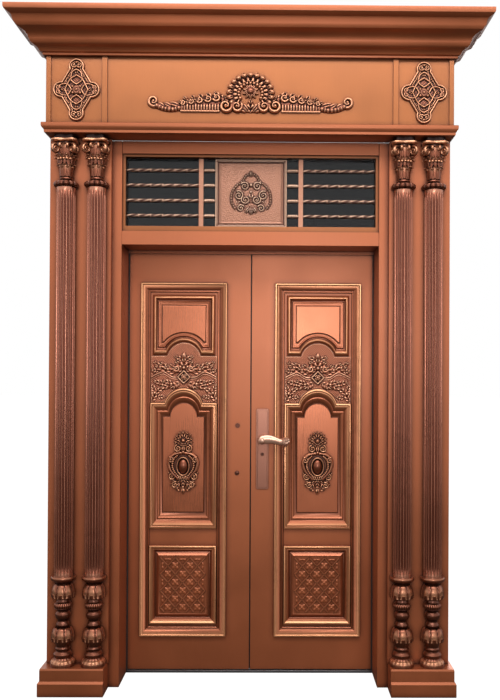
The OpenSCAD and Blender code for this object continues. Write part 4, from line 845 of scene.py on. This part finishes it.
def twisted_rod(x0, x1, z):
    """Bar along X with a slanting twist and five round collars: the radius waves with length and angle."""
    x = np.arange(x0, x1 + 1, 2.5)
    x[-1] = x1
    around = 20
    a = turn(around)[None, :]
    s = (x - x0)[:, None]
    radius = 7.0 + 0.9 * np.sin(2 * a + 2 * np.pi * s / 44)
    for k in range(1, 6):
        centre = (x1 - x0) * k / 6
        radius = np.maximum(radius, 8.6 * np.sqrt(swell(s, centre, 7)))
    y, z = ROD_Y + radius * np.cos(a), z + radius * np.sin(a)
    rings = np.stack([np.repeat(x[:, None], around, 1), y, z], -1)
    # Painted light: the fuller parts of the twist and the collars are lighter, the thinner parts darker.
    return closed_tube(rings, unit((radius - 4) / 4))


LEVER_HUB = [(16, 0.2), (16, 4.5), (14.5, 6), (11, 7), (10, 10), (10, 26), (11.5, 30), (14, 34), (14.5, 40),
             (12, 46), (7, 50)]


def lever_shape(sign):
    """Lever on its neck: hub rings, then a bent arm of oval section that ends in a lobed leaf."""
    foot = sign * HUB_Y
    hub = np.array(LEVER_HUB)
    around = 40
    a = turn(around)[None, :]
    rings = np.stack([HUB_X + hub[:, :1] * np.cos(a), foot + sign * np.repeat(hub[:, 1:], around, 1),
                      HUB_Z - sign * hub[:, :1] * np.sin(a)], -1)
    parts = [closed_tube(rings)]
    t = np.linspace(0, 1, 90)[:, None]
    x = 36 + 154 * t
    z = HUB_Z + 9 * np.sin(np.pi * unit(t / 0.7)) - 9 * t ** 2 + 10 * unit((t - 0.78) / 0.22) ** 2
    depth = foot + sign * (36 - 4 * np.sin(np.pi * t))
    tip = unit((t - 0.76) / 0.24)
    heel = np.sqrt(np.clip(1 - (1 - unit(t / 0.13)) ** 2, 0.02, 1))
    tall = (22 - 6 * unit((t - 0.35) / 0.4) + 6 * np.sin(np.pi * tip ** 0.8) - 9 * tip ** 3) * heel
    deep = (13.5 - 2.5 * np.sin(np.pi * unit(t / 0.76)) - 5 * tip ** 2) * heel
    lobes = 1 + 0.16 * tip * np.cos(6 * a) + 0.1 * np.sin(9 * np.pi * tip) * (tip > 0)
    rings = np.stack([np.repeat(x, around, 1), depth - sign * deep * np.sin(a) * lobes,
                      z + tall * np.cos(a) * lobes], -1)
    parts.append(closed_tube(rings[::sign]))
    return joined(parts)


CAP = [(11, -0.5), (11, 1.5), (10, 3), (8, 3.6), (6.5, 3.2), (5, 3.6), (3, 4.4), (0.5, 4.8)]
SEAM = [(-3, -22), (2.85, -22), (2.85, -16), (-3, -16)]


# Finishes

def linear(r, g, b):
    """A screen colour in 0 to 255 as a linear one."""
    shares = [c / 255 for c in (r, g, b)]
    return (*(((s + 0.055) / 1.055) ** 2.4 if s > 10 / 255 else s / 12.92 for s in shares), 1.0)


def node(tree, kind, inputs=(), **values):
    """A shader node with its settings and the values of some of its inputs."""
    n = tree.nodes.new(kind)
    for k, v in values.items():
        setattr(n, k, v)
    for k, v in dict(inputs).items():
        n.inputs[k].default_value = v
    return n


def wire(tree, links):
    """Links, each from an output of one node to an input of another."""
    for a, out, b, into in links:
        tree.links.new(a.outputs[out], b.inputs[into])


def shader_group(name, inputs, outputs):
    """An empty node group with its input values and its output kinds, and its two end nodes."""
    g = bpy.data.node_groups.new(name, "ShaderNodeTree")
    for label, value in inputs.items():
        kind = "NodeSocketColor" if isinstance(value, tuple) else "NodeSocketFloat"
        g.interface.new_socket(name=label, in_out="INPUT", socket_type=kind).default_value = value
    for label, kind in outputs.items():
        g.interface.new_socket(name=label, in_out="OUTPUT", socket_type=kind)
    return g, g.nodes.new("NodeGroupInput"), g.nodes.new("NodeGroupOutput")


def grain_group():
    """Brushed and clouded metal: fine streaks along Z, broad clouds, and a bump height."""
    g, i, o = shader_group(
        "brushed_grain", {"Tone": (0.5, 0.2, 0.1, 1), "Cloud": 0.15, "Roughness": 0.4},
        {"Color": "NodeSocketColor", "Roughness": "NodeSocketFloat", "Height": "NodeSocketFloat"})
    where = node(g, "ShaderNodeTexCoord")
    stretch = node(g, "ShaderNodeMapping", {"Scale": (900, 900, 14)})
    streak = node(g, "ShaderNodeTexNoise", {"Scale": 1.0, "Detail": 3})
    cloud = node(g, "ShaderNodeTexNoise", {"Scale": 3.2, "Detail": 4})
    both = node(g, "ShaderNodeMath", {1: 0.45}, operation="MULTIPLY_ADD")
    span = node(g, "ShaderNodeMapRange", {"From Min": 0.35, "From Max": 1.05, "To Min": -1, "To Max": 1})
    scale = node(g, "ShaderNodeMath", {2: 1.0}, operation="MULTIPLY_ADD")
    tint = node(g, "ShaderNodeVectorMath", operation="SCALE")
    rough = node(g, "ShaderNodeMath", {1: 0.1}, operation="MULTIPLY_ADD")
    wire(g, [(where, "Object", stretch, "Vector"), (stretch, 0, streak, "Vector"),
             (where, "Object", cloud, "Vector"), (streak, "Fac", both, 0), (cloud, "Fac", both, 2),
             (both, 0, span, "Value"), (span, 0, scale, 0), (i, "Cloud", scale, 1), (i, "Tone", tint, 0),
             (scale, 0, tint, "Scale"), (tint, 0, o, "Color"), (span, 0, rough, 0),
             (i, "Roughness", rough, 2), (rough, 0, o, "Roughness"), (streak, "Fac", o, "Height")])
    return g


def patina_and_light_group():
    """Painted shade in hollows, standing also for the dark patina there, and painted highlight on crests:
    mixes tones by the piece's own ridge value and by enclosure.
    """
    g, i, o = shader_group(
        "patina_and_painted_light", {"Tone": (0.5, 0.2, 0.1, 1), "Hollow": (0.05, 0.01, 0.005, 1),
                        "Crest": (0.8, 0.5, 0.3, 1), "Ridge": MID_RIDGE, "Reach": 0.03},
        {"Color": "NodeSocketColor"})
    # Ambient occlusion darkens enclosed spots towards the Hollow colour: painted shade, standing also for the
    # patina there.
    close = node(g, "ShaderNodeAmbientOcclusion", samples=6)
    low = node(g, "ShaderNodeMapRange", {"From Min": 0.1, "From Max": 0.62})
    open_to = node(g, "ShaderNodeMapRange", {"From Min": 0.3, "From Max": 0.92})
    mask = node(g, "ShaderNodeMath", operation="MULTIPLY")
    dark = node(g, "ShaderNodeMix", data_type="RGBA")
    # High ridge values blend towards the Crest colour: a painted highlight.
    high = node(g, "ShaderNodeMapRange", {"From Min": 0.66, "From Max": 1.0})
    bright = node(g, "ShaderNodeMix", data_type="RGBA")
    wire(g, [(i, "Reach", close, "Distance"), (i, "Ridge", low, "Value"), (close, "AO", open_to, "Value"),
             (low, 0, mask, 0), (open_to, 0, mask, 1), (mask, 0, dark, "Factor"),
             (i, "Hollow", dark, "A"), (i, "Tone", dark, "B"), (i, "Ridge", high, "Value"),
             (high, 0, bright, "Factor"), (dark, "Result", bright, "A"), (i, "Crest", bright, "B"),
             (bright, "Result", o, "Color")])
    return g


GRAIN = grain_group()
PATINA_AND_LIGHT = patina_and_light_group()


def new_finish(name, inputs):
    """A material with the values of its main shader, and its node tree and that shader."""
    m = bpy.data.materials.new(name)
    m.use_nodes = True
    shader = m.node_tree.nodes["Principled BSDF"]
    for k, v in inputs.items():
        shader.inputs[k].default_value = v
    return m, m.node_tree, shader


def metal(name, tone, hollow, crest, roughness, metallic, cloud=0.14, reach=0.03, ridged=False, bump=0.04):
    """A lacquered metal finish: brushed grain under painted shade in hollows (standing also for patina) and
    painted highlight on crests.
    """
    m, t, shader = new_finish(name, {"Metallic": metallic, "Coat Weight": 0.15, "Coat Roughness": 0.25})
    grain = node(t, "ShaderNodeGroup", {"Tone": linear(*tone), "Cloud": cloud, "Roughness": roughness},
                 node_tree=GRAIN)
    patina_and_light_mix = node(t, "ShaderNodeGroup", {"Hollow": linear(*hollow), "Crest": linear(*crest), "Reach": reach},
                node_tree=PATINA_AND_LIGHT)
    lift = node(t, "ShaderNodeBump", {"Strength": bump, "Distance": 0.001})
    wire(t, [(grain, "Color", patina_and_light_mix, "Tone"), (patina_and_light_mix, "Color", shader, "Base Color"),
             (grain, "Roughness", shader, "Roughness"), (grain, "Height", lift, "Height"),
             (lift, 0, shader, "Normal")])
    if ridged:
        ridge = node(t, "ShaderNodeAttribute", attribute_name="ridge")
        wire(t, [(ridge, "Fac", patina_and_light_mix, "Ridge")])
    return m


def pane_finish(name, divide):
    """Glass of the light: the pane in front of the plane y = divide is clear, the one behind it an opaque
    near-black sheet: painted shade standing for the dark room behind.
    """
    m, t, shader = new_finish(name, {"Base Color": linear(14, 14, 16), "Roughness": 0.06})
    where = node(t, "ShaderNodeTexCoord")
    split = node(t, "ShaderNodeSeparateXYZ")
    behind = node(t, "ShaderNodeMapRange", {"From Min": divide - 0.001, "From Max": divide + 0.001,
                                            "To Min": 0.1, "To Max": 1.0})
    wire(t, [(where, "Object", split, 0), (split, "Y", behind, "Value"), (behind, 0, shader, "Alpha")])
    return m


def floor_finish(name, shade, glow):
    """A grey floor that is lifted to white where the camera sees it, so that only a soft shadow shows."""
    m, t, shader = new_finish(name, {"Base Color": linear(*shade), "Roughness": 0.7,
                                     "Specular IOR Level": 0.0, "Emission Strength": glow})
    wire(t, [(node(t, "ShaderNodeLightPath"), "Is Camera Ray", shader, "Emission Color")])
    return m


# Finishes: tone, the colour of painted shade in hollows (standing also for patina), the colour of painted
# highlight on crests, roughness and metallic.
SHEET = metal("copper_sheet", (176, 98, 60), (64, 24, 10), (206, 130, 86), 0.4, 0.55)
BRIGHT = metal("bright_copper", (158, 92, 47), (76, 32, 12), (208, 142, 90), 0.36, 0.55)
MOULDED = metal("moulded_copper", (174, 98, 64), (44, 13, 5), (238, 172, 122), 0.28, 0.62,
                ridged=True, reach=0.02)
CARVED = metal("carved_copper", (186, 110, 78), (54, 17, 7), (250, 194, 156), 0.28, 0.62,
               ridged=True, reach=0.012)
FLUTED = metal("fluted_copper", (172, 98, 72), (60, 24, 15), (238, 172, 140), 0.27, 0.66,
               ridged=True, reach=0.012, cloud=0.06, bump=0.01)
CAST = metal("antique_castings", (134, 74, 50), (40, 15, 8), (228, 162, 122), 0.3, 0.7,
             ridged=True, reach=0.012)
ROSE = metal("rose_copper", (158, 104, 84), (84, 44, 30), (226, 172, 148), 0.3, 0.7)
LEVER = metal("polished_rose_copper", (226, 178, 152), (120, 72, 54), (252, 222, 200), 0.27, 0.6, reach=0.008)
STRIP = metal("pale_strip", (226, 158, 126), (196, 132, 104), (252, 204, 172), 0.34, 0.45, reach=0.004)
PALE = metal("pale_copper", (220, 154, 122), (84, 40, 26), (252, 204, 172), 0.32, 0.5,
             ridged=True, reach=0.012)
BRONZE = metal("dark_bronze", (92, 48, 32), (28, 11, 6), (150, 96, 70), 0.3, 0.7)
STEEL = metal("brushed_steel", (150, 150, 154), (70, 70, 74), (190, 190, 194), 0.34, 0.95)
RUBBER = metal("black_rubber", (28, 26, 25), (10, 9, 9), (50, 47, 45), 0.7, 0.0, cloud=0.2)
PILE_SHADOW = metal("brush_pile_seam_shadow", (84, 44, 30), (24, 10, 6), (120, 72, 50), 0.85, 0.0, cloud=0.3)
GLASS = pane_finish("glass_with_shaded_back", -0.185)


# Dress the solids that stay

def dress(names, finish, bevel=0.0012):
    """A finish, a weld and a softened edge (in metres) for solids of the frame."""
    for n in names:
        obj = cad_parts[n]
        obj.data.materials.clear()
        obj.data.materials.append(finish)
        weld = obj.modifiers.new("weld", "WELD")
        weld.merge_threshold = 0.00002
        if bevel:
            soften = obj.modifiers.new("soften", "BEVEL")
            soften.width = bevel
            soften.segments = 2
            soften.limit_method = "ANGLE"
            soften.angle_limit = math.radians(30)


dress(["jamb_left", "jamb_right", "head_rail", "transom_bar", "casing_left", "casing_right"], SHEET, 0.002)
dress(["plinth_left", "plinth_right", "leaf_left", "leaf_right"], SHEET)
dress(["frieze_board", "transom_sash"], BRIGHT)
dress(["transom_strips"], STRIP)
dress(["handle_plate", "inner_plate", "thumb_turn"], ROSE, 0.0008)
# On the key plug the dark bronze is painted shade of its keyhole.
dress(["door_viewer", "key_plug"], BRONZE, 0.0008)
dress(["threshold", "hinge_frame_left", "hinge_frame_right", "hinge_pins", "hinge_leaf_left",
       "hinge_leaf_right", "strike_plate", "lock_case", "latch_bolt", "deadbolt", "top_bolt", "bottom_bolt"],
      STEEL, 0.0005)
dress(["weather_seal"], RUBBER, 0)
dress(["transom_glass"], GLASS, 0)

# New pieces

for side, sign in SIDES.items():
    body = side + "_leaf"
    x = sign * PANEL_MID
    field = LEAF_FACE - FIELD_RISE
    points, faces, ridge = joined(leaf_mouldings() + lattice_bars())
    add_piece("leaf_mouldings_" + side, on_face(points, x, LEAF_FACE, 0), faces, body, MOULDED,
              ["mouldings_" + side], ridge, 30)
    add_relief("arch_carving_" + side, carving_height, (-164, 164, -130, 168), 1.5, (x, LEAF_FACE, CARVING_Z),
               body, CARVED, ["carving_" + side])
    add_relief("cartouche_" + side, medallion_height, (-80, 80, -162, 162), 1.4, (x, field, MEDALLION_Z),
               body, CAST, ["medallion_" + side])
    add_relief("lattice_flowers_" + side, lattice_flowers, (-108, 108, 2, 262), 2.0, (x, field, LATTICE_Z),
               body, SHEET)
    add_relief("lozenge_carving_" + side, lozenge_height, (-112, 112, -146, 146), 1.5,
               (sign * LOZENGE_X, FRIEZE_FACE, LOZENGE_Z), "portal", CAST, ["lozenge_" + side])

add_relief("crest_carving", crest_height, (-478, 478, -94, 100), 1.75, (0, FRIEZE_FACE, CREST_Z),
           "portal", CAST, ["frieze_crest"])
add_relief("transom_carving", relief_height, (-170, 170, -162, 162), 2.0, (0, RELIEF_FACE, RELIEF_Z),
           "portal", PALE, ["transom_relief"])

points, faces, _ = crown_block(CROWN, out=150, low=2893, tall=174)
add_piece("crown_cornice", points, faces, "portal", SHEET, ["cornice"], None, 24)
points, faces, _ = crown_block(LEDGE, out=18, low=2543, tall=45)
add_piece("frieze_ledge", points, faces, "portal", SHEET, ["ledge"], None, 24)

ORDER = (("base", column_base, BASE_Z, CAST, "copper"),
         ("shaft", column_shaft, SHAFT_Z, FLUTED, "bright_copper"),
         ("capital", column_capital, CAPITAL_Z, CAST, "castings"))
for where, x in COLUMN_X.items():
    for label, part, low, finish, slot in ORDER:
        points, faces, ridge = part()
        add_piece("column_%s_%s" % (label, where), points + [x, COLUMN_Y, low], faces, "portal", finish,
                  ["%s_%s" % (label, where)], ridge, 50)

# The seam brush's dark pile paints the shadow in the gap between the leaves.
points, faces, _ = closed_tube(np.array([[[x, y, z] for x, y in SEAM] for z in (LEAF_LOW, LEAF_HIGH)]))
add_piece("seam_brush", points, faces, "left_leaf", PILE_SHADOW, (), None, 30)

cap = np.array(CAP)
q = turn(32)[None, :]
rings = np.stack([cap[:, :1] * np.cos(q), cap[:, :1] * np.sin(q), np.repeat(cap[:, 1:], 32, 1)], -1)
points, faces, _ = closed_tube(rings)
add_piece("blind_cap", on_face(points, CAP_X, LEAF_FACE, CAP_Z), faces, "left_leaf", BRONZE,
          (), None, 45)

rods = [twisted_rod(*sorted((s * a, s * b)), ROD_Z + ROD_STEP * k)
        for k in range(4) for s in (-1, 1) for a, b in ROD_RUNS]
points, faces, ridge = joined(rods)
add_piece("beaded_rods", points, faces, "portal", PALE, ["transom_rods"], ridge, 50)

for name, sign, cad in (("outer_lever", -1, "lever"), ("room_lever", 1, "inner_lever")):
    points, faces, ridge = lever_shape(sign)
    add_piece(name, points, faces, "lever_set", LEVER, [cad], ridge, 45)

# Floor, light and camera, in metres

mesh = bpy.data.meshes.new("floor")
mesh.from_pydata([(-60, -14, 0), (60, -14, 0), (60, 80, 0), (-60, 80, 0)], [], [(0, 1, 2, 3)])
floor = bpy.data.objects.new("floor", mesh)
bpy.context.scene.collection.objects.link(floor)
mesh.materials.append(floor_finish("pale_floor", (104, 98, 92), 1.02))


def lamp(name, place, aim, size, watts):
    """A rectangular lamp at a place, turned towards a point."""
    data = bpy.data.lights.new(name, "AREA")
    data.shape = "RECTANGLE"
    data.size, data.size_y = size
    data.energy = watts
    obj = bpy.data.objects.new(name, data)
    bpy.context.scene.collection.objects.link(obj)
    obj.location = place
    obj.visible_camera = False
    away = np.asarray(place, float) - np.asarray(aim, float)
    flat = math.hypot(away[0], away[1])
    obj.rotation_euler = (math.atan2(flat, away[2]), 0, math.atan2(away[0], -away[1]))


lamp("overhead", (0.1, -3.3, 5.0), (0, -0.2, 1.6), (4.4, 1.6), 150)
lamp("front", (0.4, -6.0, 2.0), (0, -0.3, 1.5), (1.6, 1.6), 62)
lamp("back", (1.2, 5.0, 4.0), (0, 0.1, 1.4), (3.0, 3.0), 190)

world = bpy.data.worlds.new("studio")
bpy.context.scene.world = world
world.use_nodes = True
tree = world.node_tree
seen = tree.nodes["Background"]
seen.inputs["Color"].default_value = (1, 1, 1, 1)
soft = node(tree, "ShaderNodeBackground", {"Color": (1.0, 0.96, 0.92, 1), "Strength": 0.2})
path = node(tree, "ShaderNodeLightPath")
mix = node(tree, "ShaderNodeMixShader")
shown = node(tree, "ShaderNodeMath", operation="ADD")
either = node(tree, "ShaderNodeMath", operation="ADD", use_clamp=True)
wire(tree, [(path, "Is Camera Ray", shown, 0), (path, "Is Glossy Ray", shown, 1), (shown, 0, either, 0),
            (path, "Is Transmission Ray", either, 1), (either, 0, mix, 0), (soft, 0, mix, 1),
            (seen, 0, mix, 2), (mix, 0, tree.nodes["World Output"], "Surface")])

PHOTO_H = 700
FOCAL_PX = 814.8
EYE = (0.1114, -4.0303, 1.4419)
YAW, PITCH, ROLL = -0.569, 0.458, 0.301
SHIFT_PX = (31.7, 21.1)
data = bpy.data.cameras.new("camera")
data.sensor_fit = "VERTICAL"
data.sensor_height = 24
data.lens = FOCAL_PX / PHOTO_H * data.sensor_height
data.shift_x = -SHIFT_PX[0] / PHOTO_H
data.shift_y = SHIFT_PX[1] / PHOTO_H
data.clip_start = 0.05
data.clip_end = 60
camera = bpy.data.objects.new("camera", data)
bpy.context.scene.collection.objects.link(camera)
camera.location = EYE
camera.rotation_euler = (math.radians(90 + PITCH), math.radians(-ROLL), math.radians(YAW))
bpy.context.scene.camera = camera
bpy.context.scene.view_settings.view_transform = "Standard"
